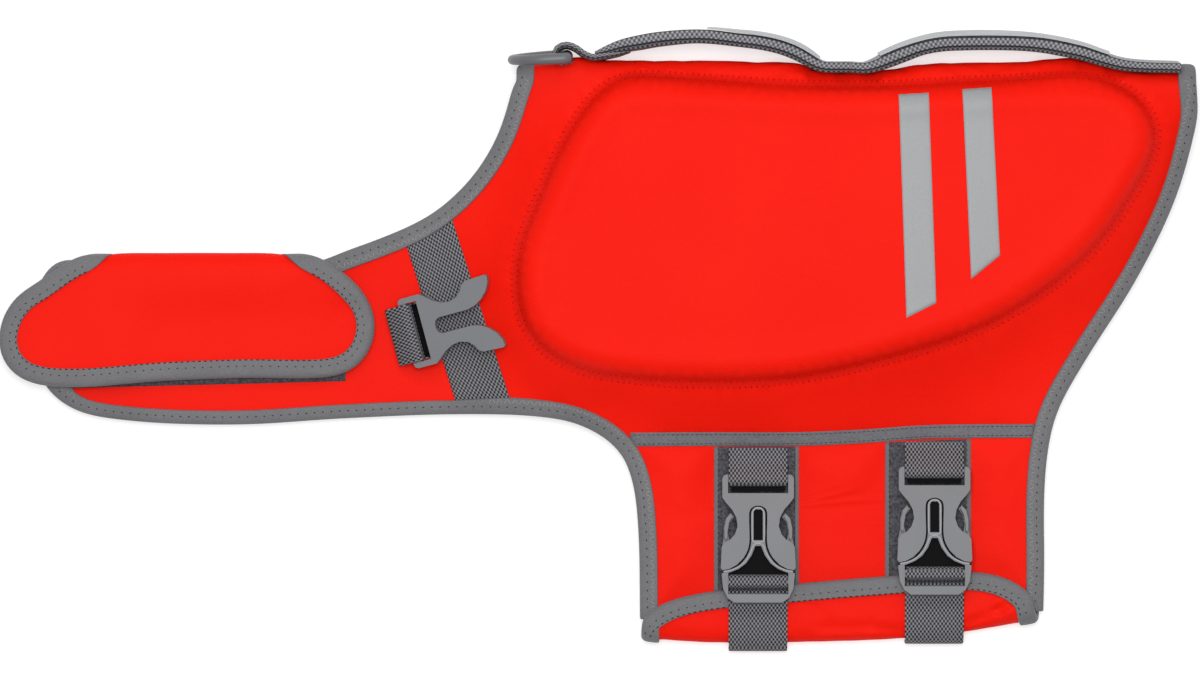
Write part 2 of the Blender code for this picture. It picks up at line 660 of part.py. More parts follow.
def upper_panel(name, neck, back, outer, inner, hems, notched, step):
    """An upper body panel with its neck band and its pad."""
    inset = REACH + 0.4
    xs = [back[0][0] - inset, *np.linspace(back[0][0], neck[0][0], 26)[2:-2], neck[0][0] + inset]
    spine = [(x, flat_start(x) + ROLL_LENGTH) for x in xs]
    low_left, low_right = neck[-1] + (0, GAP / 2), back[-1] + (0, GAP / 2)
    left = [tuple(p) for p in neck[:-1]]
    if notched:
        at = next(i for i, p in enumerate(left) if p[0] < NOTCH[1] + 3 and p[1] > 20)
        after = next(i for i, p in enumerate(left) if p[0] < NOTCH[0] - 3 and p[1] > 20)
        steps = [(NOTCH[1], left[at][1]), (NOTCH[1], NOTCH_Y)]
        steps += [(x, NOTCH_Y) for x in np.linspace(NOTCH[1], NOTCH[0], 8)[1:-1]]
        steps += [(NOTCH[0], NOTCH_Y), (NOTCH[0], left[after][1] - 0.6)]
        left = left[:at] + steps + left[after:]
    right = [tuple(p) for p in back[:-1]][::-1]
    seam = [tuple(low_left)] + seam_run(low_left, low_right, 1) + [tuple(low_right)]
    loop = np.array(left + seam + right + spine)
    runs = hem_runs(loop, hems)
    columns = np.linspace(neck[0][0] + 15, back[0][0] - 15, 21)
    fold = [(x, flat_start(x) + ROLL_LENGTH * k) for k in (0.0, 0.25, 0.5, 0.75) for x in columns]
    fold = [p for p in fold if distance(pad_ring, *p) > 2.5]
    even = curve(PAD, 8.0, closed=True)[:-1]
    rings = [([tuple(p) for p in ring], True) for ring in (pad, offset(even, 3.0), offset(even, 8.5))]
    body = fold + grid_points(loop, step, 6.3, fold + points_of(runs + rings))
    lining = fold + grid_points(loop, step * 1.35, 7.5, fold + points_of(runs + rings))
    inner_rings = [rings[0], rings[2]]
    return wall(name, loop, outer, inner, body, lining, "neoprene", runs + rings, runs + inner_rings)


def lower_panel(leg, back, hems):
    """The near lower side panel, from the side seam down into the belly fold."""
    top_left, top_right = leg[0] - (0, GAP / 2), back[0] - (0, GAP / 2)
    inset = REACH + 0.4
    xs = [leg[-1][0] + inset, *np.linspace(leg[-1][0], back[-1][0], 12)[1:-1], back[-1][0] - inset]
    bottom = [(x, fold_y(x) + 9.0) for x in xs]
    seam = seam_run(top_left, top_right, -1)[::-1]
    sides = [tuple(top_left)] + [tuple(p) for p in leg[1:]] + bottom + [tuple(p) for p in back[1:]][::-1]
    loop = np.array(sides + [tuple(top_right)] + seam)
    runs = hem_runs(loop, hems)
    body = grid_points(loop, 14.0, 6.3, points_of(runs))
    lining = grid_points(loop, 30.0, 9.0, points_of(runs))
    return wall("near_lower_panel", loop, near_outer, near_inner, body, lining, "neoprene", runs, runs)


def belly_cloth(x, y):
    """A far plan point as a point of the belly panel's cloth."""
    return x, fold_y(x) + WRAP_ROLL - WRAP_LENGTH - y


def belly_loop(leg, back):
    """The belly panel's outline: leg edge, round the fold, overlap edge, and back along the rear edge."""
    far_left = [belly_cloth(x, y) for x, y in leg if y > fold_y(x) + WRAP_ROLL + 1]
    far_right = [belly_cloth(x, y) for x, y in back if y > fold_y(x) + WRAP_ROLL + 1]
    over = [(x, y - fold_y(x) - WRAP_ROLL) for x, y in resample(wrap_line, 6.0)]
    over = [(x, v) for x, v in over if v > 1.0]
    turns = (0.95, 0.75, 0.55, 0.35, 0.15, 0.0)
    bow = [0.6 * math.sin(math.pi * k) for k in turns]
    lower, upper = far_left[-1][0], over[0][0] - 0.8
    left = [(upper + (lower - upper) * k - b, -WRAP_LENGTH * k) for k, b in zip(turns, bow)]
    lower, upper = far_right[-1][0], over[-1][0] + 0.8
    right = [(upper + (lower - upper) * k + b, -WRAP_LENGTH * k) for k, b in zip(turns, bow)][::-1]
    return far_left, left, over, right, far_right[::-1]


def belly_panel(leg, back):
    """The far lower side, carried round the belly fold and over the near side."""
    far_left, left, over, right, far_right = belly_loop(leg, back)
    top_left, top_right = np.array(leg[0]) - (0, GAP / 2), np.array(back[0]) - (0, GAP / 2)
    seam = [belly_cloth(x, y) for x, y in seam_run(top_left, top_right, -1)]
    far_left[0], far_right[-1] = belly_cloth(*top_left), belly_cloth(*top_right)
    sides = far_left + left + over + right + far_right
    loop = np.array(sides + seam[::-1])
    runs = hem_runs(loop, [rail(sides, -1, reach) for reach in (REACH / 2, REACH + 0.4)], 2.4)
    turns = [(x, -WRAP_LENGTH * k) for k in (0.0, 0.25, 0.5, 0.75, 1.0) for x in np.linspace(26, 173, 13)]
    body = turns + grid_points(loop, 20.0, 7.0, points_of(runs) + turns)
    return wall("belly_panel", loop[::-1], wrap_outer, wrap_inner, body, body, "neoprene", runs, runs)


def flap_edge():
    """The flap's edge, with its points closer together where it goes round the fold."""
    line = resample(flap_line, 3.4)
    return np.array([p for i, p in enumerate(line) if p[1] > FLAP_FOLD_Y - 3 or i % 2 == 0])


def neck_flap():
    """The flap, from its seam on the far band round the fold and over the near band."""
    edge = flap_edge()
    inset = REACH + 0.4
    columns = np.linspace(edge[0][0] + inset + 3, edge[-1][0] - inset - 3, 7)
    seam = [(x, edge[0][1]) for x in (edge[-1][0] - inset, *columns[::-1], edge[0][0] + inset)]
    loop = np.array([tuple(p) for p in edge] + seam)
    turns = [(x, FLAP_FOLD_Y + FLAP_LENGTH * k) for k in (0.0, 0.25, 0.5, 0.75, 1.0) for x in columns]
    runs = hem_runs(loop, [rail(edge, 1, reach) for reach in (REACH / 2, REACH + 0.4)], 2.4)
    body = turns + grid_points(loop, 13.0, 6.0, points_of(runs) + turns)
    return wall("neck_flap", loop, flap_outer, flap_inner, body, body, "neoprene", runs, runs)


# ---------------------------------------------------------------- bindings

def binding(name, path, side, outer, inner, middle, rows=1, follow=None, clear=GAP):
    """A ribbon folded over an edge, each leg in rows. side is 1 where the panel is on the path's left."""
    path = np.array(path, float)
    rails = [path] + [rail(path, side, REACH * row / rows, follow) for row in range(1, rows + 1)]
    beside = rail(path, side, 1.0, follow)
    sections = []
    for i, p in enumerate(path):
        top, low = [], []
        for row in range(rows, -1, -1):
            at = rails[row][i]
            face, back = outer(*at), inner(*at)
            up = (face - back) / np.linalg.norm(face - back)
            top.append((face, up))
            low.append((back, up))
        out = middle(*p) - middle(*beside[i])
        out -= up * out.dot(up)
        out /= np.linalg.norm(out)
        nose = middle(*p) + out * (clear + RIBBON)
        section = [q + u * clear for q, u in top[:1]] + [q + u * (clear + RIBBON) for q, u in top]
        section += [nose + up * 0.8, nose - up * 0.8]
        section += [q - u * (clear + RIBBON) for q, u in low[::-1]]
        section += [q - u * clear for q, u in low[:-1]]
        section += [low[-1][0] - up * clear + out * clear, top[-1][0] + up * clear + out * clear]
        section += [q + u * clear for q, u in top[-2:0:-1]]
        sections.append([q * (1, 1, 0) + (0, 0, max(q[2], 0.0)) for q in section])
    return sweep(name, sections, "binding")


# ---------------------------------------------------------------- strips

def slab(name, bottom, top, material):
    """A closed slab between two equal grids of points."""
    rows, columns = len(bottom), len(bottom[0])
    points = [p for row in bottom for p in row] + [p for row in top for p in row]
    level = rows * columns

    def at(i, j):
        return i * columns + j

    faces = []
    for i in range(rows - 1):
        for j in range(columns - 1):
            quad = (at(i, j), at(i, j + 1), at(i + 1, j + 1), at(i + 1, j))
            faces += [quad, tuple(level + k for k in reversed(quad))]
    rim = [at(0, j) for j in range(columns)] + [at(i, columns - 1) for i in range(1, rows)]
    rim += [at(rows - 1, j) for j in range(columns - 2, -1, -1)] + [at(i, 0) for i in range(rows - 2, 0, -1)]
    faces += [(a, level + a, level + b, b) for a, b in zip(rim, rim[1:] + rim[:1])]
    return add_object(name, points, faces, material)


def trees_of(things):
    trees = []
    for thing in things:
        points = [v.co / MM for v in thing.data.vertices]
        trees.append(BVHTree.FromPolygons(points, [tuple(f.vertices) for f in thing.data.polygons]))
    return trees


def top_of(trees, x, y):
    """How high the pieces under a plan point reach."""
    hits = [tree.ray_cast(Vector((x, y, 60.0)), Vector((0, 0, -1)))[0] for tree in trees]
    return max([hit[2] for hit in hits if hit], default=0.0)


def settle(bottom, thickness, trees):
    """Lift a grid of points until the strip between them clears what it lies on; returns its two faces."""
    bottom = np.array(bottom)
    shares = np.linspace(0, 1, 5)
    for _ in range(3):
        need = np.zeros(bottom.shape[:2])
        for i in range(bottom.shape[0] - 1):
            for j in range(bottom.shape[1] - 1):
                lack = 0.0
                for a in shares:
                    for b in shares:
                        near = bottom[i, j] * (1 - b) + bottom[i, j + 1] * b
                        away = bottom[i + 1, j] * (1 - b) + bottom[i + 1, j + 1] * b
                        p = near * (1 - a) + away * a
                        lack = max(lack, top_of(trees, p[0], p[1]) + GAP - p[2])
                need[i:i + 2, j:j + 2] = np.maximum(need[i:i + 2, j:j + 2], lack)
        bottom[:, :, 2] += need
    return bottom, bottom + (0, 0, thickness)


def patch(name, corners, along, across, thickness, trees, material):
    """A strip laid on the near side. Corners: top left, top right, bottom left, bottom right."""
    corners = [np.array(c, float) for c in corners]
    grid = []
    for i in range(along + 1):
        left = corners[0] + (corners[2] - corners[0]) * i / along
        right = corners[1] + (corners[3] - corners[1]) * i / along
        run = [left + (right - left) * j / across for j in range(across + 1)]
        grid.append([(*p, top_of(trees, *p) + GAP) for p in run])
    return slab(name, *settle(grid, thickness, trees), material)


def strap(name, path, side, half_width, thickness, material="webbing"):
    """A flat strip along a path of middle points, with its width along side."""
    path = np.array(path, float)
    side = np.array(side, float)
    ahead = np.gradient(path, axis=0)
    sections = []
    for p, t in zip(path, ahead):
        up = np.cross(side, t)
        up /= np.linalg.norm(up)
        half = up * thickness / 2
        sections.append([p + side * half_width + half, p - side * half_width + half,
                         p - side * half_width - half, p + side * half_width - half])
    return sweep(name, sections, material)


def seam_tape(trees):
    """Grosgrain ribbon over the near side seam, between the leg binding and the rear binding."""
    grid = []
    for x in np.linspace(15.5, 178.4, 22):
        row = []
        for shift in (2.9, 0.0, -2.9):
            y = seam_y(x) + shift
            row.append((x, y, max(top_of(trees, x, y - 0.4), top_of(trees, x, y + 0.4)) + GAP))
        grid.append(row)
    return slab("near_side_seam_tape", *settle(grid, TAPE, trees), "binding")


def handle_frame(rows):
    """For each row of a handle: its middle, thickness, and the directions of its width and thickness."""
    line = np.array([(x, y) for x, y, _, _ in rows])
    ahead = np.gradient(line, axis=0)
    ahead /= np.linalg.norm(ahead, axis=1)[:, None]
    for (x, y, thick, tilt), t in zip(rows, ahead):
        lean = math.radians(tilt)
        out = np.array([-t[1], t[0], 0.0])
        width = -out * math.sin(lean) + np.array([0, 0, math.cos(lean)])
        face = out * math.cos(lean) + np.array([0, 0, math.sin(lean)])
        yield np.array([x, y, SPINE_Z]), thick, width, face


def handle(name, rows):
    """A run of the spine webbing: sewn stretches and one arched handle."""
    sections = []
    for middle, thick, width, face in handle_frame(rows):
        wide, half, trim = HANDLE_HALF, thick / 2, min(0.9, thick / 3)
        section = []
        for a, b in ((1, 1), (-1, 1), (-1, -1), (1, -1)):
            beside = middle + width * a * wide + face * b * (half - trim)
            on_face = middle + width * a * (wide - trim) + face * b * half
            section += [beside, on_face] if a == b else [on_face, beside]
        sections.append(section)
    return sweep(name, sections, "webbing")


def facing(name, rows, start, end):
    """The smooth strip along the outer face of a handle."""
    sections = []
    kept = [row for row in rows if start - 0.1 <= row[0] <= end + 1]
    frames = [f for f, row in zip(handle_frame(rows), rows) if row in kept]
    for middle, thick, width, face in frames:
        low = middle + face * (thick / 2 + GAP)
        half = width * (HANDLE_HALF - 0.9)
        sections.append([low + half, low + half + face * FACING, low - half + face * FACING, low - half])
    return sweep(name, sections, "reflective")


# ---------------------------------------------------------------- hard parts

def frame_of(origin, along, across):
    along, across = np.array(along, float), np.array(across, float)
    return np.array(origin, float), along, across, np.cross(along, across)


def mirrored(half):
    """A closed outline from its half, whose points run on one side of the middle line."""
    return [tuple(p) for p in half] + [(a, -b) for a, b in reversed(half)]


def box_outline(start, end, half):
    return [(start, -half), (end, -half), (end, half), (start, half)]


def plate(name, outline, holes, low, high, frame, material="plastic", origin=None):
    """A plate in its own plane, with holes through it."""
    place, along, across, up = frame
    loops = [outline] + list(holes)
    flat = [p for loop in loops for p in loop]
    edges, start = [], 0
    for loop in loops:
        edges += [(start + i, start + (i + 1) % len(loop)) for i in range(len(loop))]
        start += len(loop)
    found = delaunay_2d_cdt([Vector(p) for p in flat], edges, [], 0, 1e-7)
    source = [origins[0] for origins in found[3]]
    faces = []
    for face in found[2]:
        corners = [source[i] for i in face]
        centre = np.mean([flat[i] for i in corners], axis=0)
        if not within(np.array(outline), *centre) or any(within(np.array(hole), *centre) for hole in holes):
            continue
        faces += [tuple(corners), tuple(len(flat) + i for i in reversed(corners))]
    faces += [(a, b, len(flat) + b, len(flat) + a) for a, b in edges]
    points = [place + along * p[0] + across * p[1] + up * level for level in (low, high) for p in flat]
    return add_object(name, points, faces, material, origin)


def joined(thing, other):
    """thing with other's solid added to it."""
    modifier = thing.modifiers.new("Joined", "BOOLEAN")
    modifier.operation = "UNION"
    modifier.solver = "EXACT"
    modifier.object = other
    other.hide_render = True
    other.display_type = "WIRE"
    return thing


def male_half(name, frame, origin=None):
    """The pronged half of a buckle: a waisted plate with an open slot, and a round bar across its end."""
    place, along, across, up = frame
    end, half = MALE_SLOT
    outline = mirrored([(end, half), (0.0, half), *MALE_HALF])
    body = plate(name, outline, [], -BUCKLE_HALF, BUCKLE_HALF, frame, origin=origin)
    middle = place + along * BAR_AT
    turns = [2 * math.pi * k / BAR_SIDES for k in range(BAR_SIDES)]
    rim = [(along * math.cos(t) + up * math.sin(t)) * BAR_RADIUS for t in turns]
    ends = [[middle + across * reach + r for r in rim] for reach in (-half - 1.0, half + 1.0)]
    return joined(body, sweep(name + "_bar_tool", ends, "plastic", origin=origin))


def female_half(name, frame):
    """The forked half of a buckle: a fork between the prongs, and a base under them with two horns."""
    holes = [box_outline(*FORK_SLOT), mirrored(FORK_MOUTH), box_outline(*FORK_LOOP)]
    body = plate(name, mirrored(FORK_HALF), holes, -BUCKLE_HALF, BUCKLE_HALF, frame)
    parts = (
        ("base", BASE_HALF, BASE_DEEP, -BUCKLE_HALF - GAP),
        ("horn", HORN_HALF, BASE_DEEP + 0.5, BUCKLE_HALF - 0.3),
        ("post", POST_HALF, BASE_DEEP + 0.5, 0.4),
    )
    for side, label in ((1, "left"), (-1, "right")):
        for part, half, deep, top in parts:
            outline = [(a, b * side) for a, b in half]
            joined(body, plate(f"{name}_{label}_{part}_tool", outline, [], deep, top, frame))
    return body


def belly_frame(x, y, z):
    along = np.array([0.0, -math.cos(BUCKLE_TILT), math.sin(BUCKLE_TILT)])
    across = np.array([1.0, 0.0, 0.0])
    return frame_of(np.array([x, y, z]) - along * BUCKLE_MIDDLE, along, across)


def across_strap(x):
    return [x + WEB_WIDTH / 2 * k for k in (-1.0, -0.5, 0.0, 0.5, 1.0)]


def upper_webbing(name, x, y, z, trees):
    """From the side seam down to the male half, over its bar and back under it."""
    place, along, _, _ = belly_frame(x, y, z)
    bar = place + along * BAR_AT
    ring = BAR_RADIUS + WEB_RIDE
    columns = across_strap(x)
    start = min(seam_y(a) for a in columns) - 3.4
    path = []
    for at in (start, start - 3.0):
        rest = max(top_of(trees, a, at + shift) for a in columns for shift in (-1.5, 0.0, 1.5))
        path.append((x, at, rest + WEB_RIDE))
    path.append((x, bar[1] + 6.8, max(path[1][2] - 0.6, bar[2] - 0.4)))
    for turn in range(120, -91, -30):
        angle = math.radians(turn)
        path.append(tuple(bar + np.array([0, -math.cos(angle), math.sin(angle)]) * ring))
    path.append((x, bar[1] + 4.6, bar[2] - ring + 0.1))
    return strap(name, path, (1, 0, 0), WEB_WIDTH / 2, WEB)


def lower_webbing(name, x, y, z, slack, trees):
    """From under the window bar of the female half, over it, under the end bar and round the belly fold."""
    place, along, _, up = belly_frame(x, y, z)
    path = [tuple(place + along * a + up * h) for a, h in LOWER_WRAP]
    last = path[-1][1]
    columns = across_strap(x)
    fold = min(fold_y(a) for a in columns) + WRAP_ROLL
    for share in (0.35, 0.7, 1.0):
        at = last + (fold - last) * share
        rest = max(top_of(trees, a, at + shift) for a in columns for shift in (-1.5, 0.0, 1.5))
        path.append((x, at, rest + WEB_RIDE))
    high = path[-1][2]
    for share in (0.14, 0.28, 0.42, 0.56, 0.68):
        out, level = half_turn(share, WRAP_ROLL + WEB_RIDE + slack, high, -0.9)
        path.append((x, fold - out, level))
    return strap(name, path, (1, 0, 0), WEB_WIDTH / 2, WEB)


def shoulder_frame():
    turn, pitch = SHOULDER_TURN, SHOULDER_PITCH
    flat = np.array([math.cos(turn), math.sin(turn), 0.0])
    across = np.array([-math.sin(turn), math.cos(turn), 0.0])
    along = flat * math.cos(pitch) + np.array([0, 0, math.sin(pitch)])
    bar = np.array([*SHOULDER_END, 0.0]) + flat * BAR_AT
    bar[2] = SHOULDER_BAR_Z
    return frame_of(bar - along * BAR_AT, along, across), flat, bar


def shoulder_loop(flat, bar, across, trees):
    """A short loop of webbing: sewn down, folded back at its left end, over the buckle's bar and under it."""
    ring = BAR_RADIUS + GAP + WEB / 2 + 0.2
    tail = [bar + flat * u + across * v for u in (-7.0, -2.0, 3.0, 8.2) for v in (-12, -6, 0, 6, 12)]
    low = max(top_of(trees, q[0], q[1]) for q in tail) + WEB_RIDE
    path = [(8.2, low), (2.0, low), (-4.0, low), (-6.6, low + 0.3), (-7.6, low + 1.3), (-6.8, low + 2.4)]
    for turn in range(125, -121, -35):
        angle = math.radians(turn)
        path.append((ring * math.cos(angle), bar[2] + ring * math.sin(angle)))
    points = [bar * (1, 1, 0) + flat * u + np.array([0, 0, z]) for u, z in path]
    return strap("shoulder_buckle_loop", points, across, WEB_WIDTH / 2 - 0.1, WEB)


def d_ring():
    """A moulded ring: a straight bar, rounded corners, two arms and a round bow."""
    lean = RING_TILT
    width = np.array([0.0, -math.sin(lean), math.cos(lean)])
    reach = np.array([-math.cos(RING_SLOPE), -math.sin(RING_SLOPE), 0.0])
    reach -= width * reach.dot(width)
    reach /= np.linalg.norm(reach)
    face = np.cross(width, reach)
    centre = np.array([*RING_BAR, RING_Z])
    half, corner = RING_HALF, RING_CORNER
    bend = [(corner - corner * math.cos(a), half - corner + corner * math.sin(a)) for a in (0.52, 1.05, 1.57)]
    bow = RING_REACH - RING_ARM
    line = [(0.0, w) for w in (-half + corner, 0.0, half - corner)] + bend
    line += [(RING_ARM + bow * math.sin(a), half * math.cos(a)) for a in np.linspace(0.0, math.pi, 15)]
    line += [(u, -w) for u, w in reversed(bend)]
    path = [centre + reach * u + width * w for u, w in line]
    sections = []
    for i, p in enumerate(path):
        ahead = path[(i + 1) % len(path)] - path[i - 1]
        ahead /= np.linalg.norm(ahead)
        out = np.cross(ahead, face)
        turns = [k * math.pi / 4 for k in range(8)]
        sections.append([p + (out * math.cos(t) + face * math.sin(t)) * RING_ROD for t in turns])
    return sweep("d_ring", sections, "plastic", closed=True, origin=tuple(centre))


# ---------------------------------------------------------------- assembly

def main():
    for thing in list(bpy.data.objects):
        bpy.data.objects.remove(thing)

    neck, leg = cut_at_seam(neck_to_leg)
    back, low_back = cut_at_seam(rear)
    neck, back = side_edge(neck, 8.0), side_edge(back, 9.0)
    leg, low_back = resample(leg, 9.0), resample(low_back, 10.0)
    leg = np.array([p for p in leg if p[1] > fold_y(p[0]) + 9.0])
    low_back = np.array([p for p in low_back if p[1] > fold_y(p[0]) + 9.0])
    front_edge, rear_edge = np.vstack([neck[:-1], leg]), np.vstack([back[:-1], low_back])
    hems = [rail(front_edge, 1, REACH + 0.4, flat_start), rail(rear_edge, -1, REACH + 0.4, flat_start)]
    upper = upper_panel("near_upper_panel", neck, back, near_outer, near_inner, hems, False, 14.0)
    lower = lower_panel(leg, low_back, hems)
    near = (near_outer, near_inner, near_middle)
    binding("near_front_binding", front_edge, 1, *near, follow=flat_start)
    binding("near_rear_binding", rear_edge, -1, *near, follow=flat_start)

    far_neck, far_leg = cut_at_seam(edges_far[0])
    far_back, far_low_back = cut_at_seam(edges_far[1])
    far_neck, far_back = side_edge(far_neck, 11.0), side_edge(far_back, 12.0)
    far_leg, far_low_back = resample(far_leg, 12.0), resample(far_low_back, 12.0)
    flat_leg = [p for p in far_leg if p[1] > fold_y(p[0]) + WRAP_ROLL + 1]
    flat_back = [p for p in far_low_back if p[1] > fold_y(p[0]) + WRAP_ROLL + 1]
    front_edge, rear_edge = np.vstack([far_neck[:-1], flat_leg]), np.vstack([far_back[:-1], flat_back])
    hems = [rail(front_edge, 1, REACH + 0.4, flat_start), rail(rear_edge, -1, REACH + 0.4, flat_start)]
    upper_panel("far_upper_panel", far_neck, far_back, far_outer, far_inner, hems, True, 22.0)
    belly = belly_panel(far_leg, far_low_back)
    neck_flap()
    far = (far_outer, far_inner, far_middle)
    stop = next(i for i, p in enumerate(front_edge) if p[0] < NOTCH[1] + 3)
    start = next(i for i, p in enumerate(front_edge) if p[0] < NOTCH[0] - 3)
    binding("far_neck_binding", front_edge[:stop], 1, *far, follow=flat_start)
    binding("far_leg_binding", front_edge[start:], 1, *far)
    binding("far_rear_binding", rear_edge, -1, *far, follow=flat_start)
    _, left, over, right, _ = belly_loop(far_leg, far_low_back)
    overlap = binding("belly_binding", left + over + right, -1, wrap_outer, wrap_inner, wrap_middle, rows=2)
    binding("flap_binding", flap_edge(), 1, flap_outer, flap_inner, flap_middle, rows=3, clear=0.5)

    under = trees_of([upper, lower])
    seam_tape(under)
    patch("neck_loop_tape", NECK_TAPE, 6, 12, TAPE, under, "loop_tape")
    patch("shoulder_webbing", SHOULDER_WEBBING, 10, 4, WEB, under, "webbing")
    for name, *corners in REFLECTIVE:
        patch(name, corners, 9, 1, 0.5, under, "reflective")
    tapes = []
    for name, start, end in BELLY_TAPES:
        corners = [(start, seam_y(start) - 3.4), (end, seam_y(end) - 3.4)]
        corners += [(start, BELLY_TAPE_END), (end, BELLY_TAPE_END)]
        tapes.append(patch(name, corners, 8, 4, TAPE, under, "loop_tape"))

    strap("d_ring_loop", [(x, y, RING_Z) for x, y in RING_LOOP], (0, 0, 1), HANDLE_HALF, WEB)
    handle("front_handle", FRONT_HANDLE)
    handle("rear_handle", REAR_HANDLE)
    for (name, start, end), rows in zip(HANDLE_FACINGS, (FRONT_HANDLE, REAR_HANDLE)):
        facing(name, rows, start, end)
    d_ring()

    frame, flat, bar = shoulder_frame()
    shoulder_loop(flat, bar, frame[2], under)
    male_half("shoulder_buckle", frame, origin=tuple(bar))
    taped, wrapped = under + trees_of(tapes), trees_of([belly, overlap])
    for label, x, y, z, slack in BELLY_BUCKLES:
        upper_webbing(f"belly_upper_webbing_{label}", x, y, z, taped)
        lower_webbing(f"belly_lower_webbing_{label}", x, y, z, slack, wrapped)
        male_half(f"belly_buckle_male_{label}", belly_frame(x, y, z))
        female_half(f"belly_buckle_female_{label}", belly_frame(x, y, z))


main()
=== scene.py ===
"""The looks of a dog life jacket that is folded along its spine, fastened and laid on its right side."""
import math

import bpy
import numpy as np
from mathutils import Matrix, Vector
from mathutils.bvhtree import BVHTree


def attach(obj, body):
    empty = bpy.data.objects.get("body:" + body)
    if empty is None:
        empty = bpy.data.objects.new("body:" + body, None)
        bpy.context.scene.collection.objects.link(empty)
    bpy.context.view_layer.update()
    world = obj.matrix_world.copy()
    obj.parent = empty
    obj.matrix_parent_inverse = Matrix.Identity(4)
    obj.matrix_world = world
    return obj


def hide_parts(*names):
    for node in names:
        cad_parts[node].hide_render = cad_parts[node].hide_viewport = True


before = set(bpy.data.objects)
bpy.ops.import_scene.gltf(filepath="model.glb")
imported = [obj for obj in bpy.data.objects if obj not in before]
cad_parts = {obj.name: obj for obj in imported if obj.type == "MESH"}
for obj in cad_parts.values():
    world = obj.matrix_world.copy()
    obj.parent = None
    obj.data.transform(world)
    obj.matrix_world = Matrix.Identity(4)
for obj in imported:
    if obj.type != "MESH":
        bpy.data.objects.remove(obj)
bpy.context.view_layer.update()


# ======================================================================= floor, light and camera
# The jacket lies on white acrylic that is lit faintly from below, so that it throws hardly any shadow. A soft
# light hangs above it and a weaker one fills in from its spine side, and the camera looks straight down from
# 4 m through a long lens.
MM = 0.001
FLOOR_HEX = "c4c4c4"
FLOOR_SIZE = 8.0          # m
FLOOR_LEVEL = -0.0004     # m, just clear of the cloth
FLOOR_GLOW = 0.54
SOFTBOXES = (             # name, place and width in metres, power in watts
    ("overhead_softbox", (0.0, 0.16, 2.4), 0.9, 38.5),
    ("spine_side_softbox", (0.05, 0.8, 1.35), 1.1, 6.2),
)
ROOM_LIGHT = 0.34
CAMERA_Y = 0.0006         # m
CAMERA_HEIGHT = 4.0
SHOWN_WIDTH = 0.5         # m, what the camera sees across at the level of the cloth
SHOWN_LEVEL = 0.008       # m
SENSOR = 36.0             # mm


def colour(code):
    """A linear colour from an sRGB hex code."""
    parts = [int(code[i:i + 2], 16) / 255 for i in (0, 2, 4)]
    return (*(c / 12.92 if c <= 0.04045 else ((c + 0.055) / 1.055) ** 2.4 for c in parts), 1.0)


def add_node(material, kind, **values):
    """A shader node with its settings. Nodes and sockets are linked; _ is a space, and in0 is input 0."""
    node = material.node_tree.nodes.new("ShaderNode" + kind)
    for name, value in values.items():
        if hasattr(node, name):
            setattr(node, name, value)
            continue
        socket = node.inputs[int(name[2:]) if name[2:].isdigit() else name.replace("_", " ")]
        if isinstance(value, bpy.types.Node):
            value = value.outputs[0]
        if isinstance(value, bpy.types.NodeSocket):
            material.node_tree.links.new(value, socket)
        else:
            socket.default_value = value
    return node


def new_material(name, **values):
    """A material whose shader takes the given values."""
    material = bpy.data.materials.new(name)
    material.use_nodes = True
    shader = material.node_tree.nodes["Principled BSDF"]
    for label, value in values.items():
        shader.inputs[label.replace("_", " ")].default_value = value
    return material


def finish(material, level, hexes, height=None, strength=0.0, depth=0.0, over=()):
    """Two colours mixed by level, and the relief that height makes, depth metres deep.

    over lists what is laid over the two colours, each a pair of its share and its colour.
    """
    shader = material.node_tree.nodes["Principled BSDF"]
    tint = add_node(material, "Mix", data_type="RGBA", in0=level, in6=colour(hexes[0]), in7=colour(hexes[1]))
    for share, other in over:
        tint = add_node(material, "Mix", data_type="RGBA", in0=share, in6=tint.outputs[2], in7=other)
    material.node_tree.links.new(tint.outputs[2], shader.inputs["Base Color"])
    if height:
        relief = add_node(material, "Bump", Strength=strength, Distance=depth, Height=height)
        material.node_tree.links.new(relief.outputs["Normal"], shader.inputs["Normal"])
    return material


def only(piece):
    """Select one piece and nothing else."""
    bpy.ops.object.select_all(action="DESELECT")
    piece.select_set(True)
    bpy.context.view_layer.objects.active = piece


def soft_light(name, place, size, power):
    """A square light that is turned towards the jacket and isn't seen itself."""
    bpy.ops.object.light_add(type="AREA", location=place)
    light = bpy.context.object
    light.name = name
    light.data.size = size
    light.data.energy = power
    light.rotation_euler = (-Vector(place)).to_track_quat("-Z", "Y").to_euler()
    light.visible_camera = False


bpy.ops.object.select_all(action="DESELECT")
bpy.ops.mesh.primitive_plane_add(size=FLOOR_SIZE, location=(0, 0, FLOOR_LEVEL))
table_top = bpy.context.object
table_top.name = "table_top"
acrylic = new_material("white_lit_acrylic", Base_Color=colour(FLOOR_HEX), Roughness=0.7,
                       Specular_IOR_Level=0.2, Emission_Color=colour("ffffff"), Emission_Strength=FLOOR_GLOW)
table_top.data.materials.append(acrylic)

for softbox in SOFTBOXES:
    soft_light(*softbox)
world = bpy.data.worlds.new("studio")
world.use_nodes = True
world.node_tree.nodes["Background"].inputs["Color"].default_value = (1.0, 1.0, 1.0, 1.0)
world.node_tree.nodes["Background"].inputs["Strength"].default_value = ROOM_LIGHT
bpy.context.scene.world = world
bpy.context.scene.view_settings.view_transform = "Standard"

bpy.ops.object.camera_add(location=(0.0, CAMERA_Y, CAMERA_HEIGHT), rotation=(0, 0, 0))
camera = bpy.context.object
camera.name = "camera"
camera.data.sensor_width = SENSOR
camera.data.lens = SENSOR * (CAMERA_HEIGHT - SHOWN_LEVEL) / SHOWN_WIDTH
camera.data.clip_end = 20.0
bpy.context.scene.camera = camera


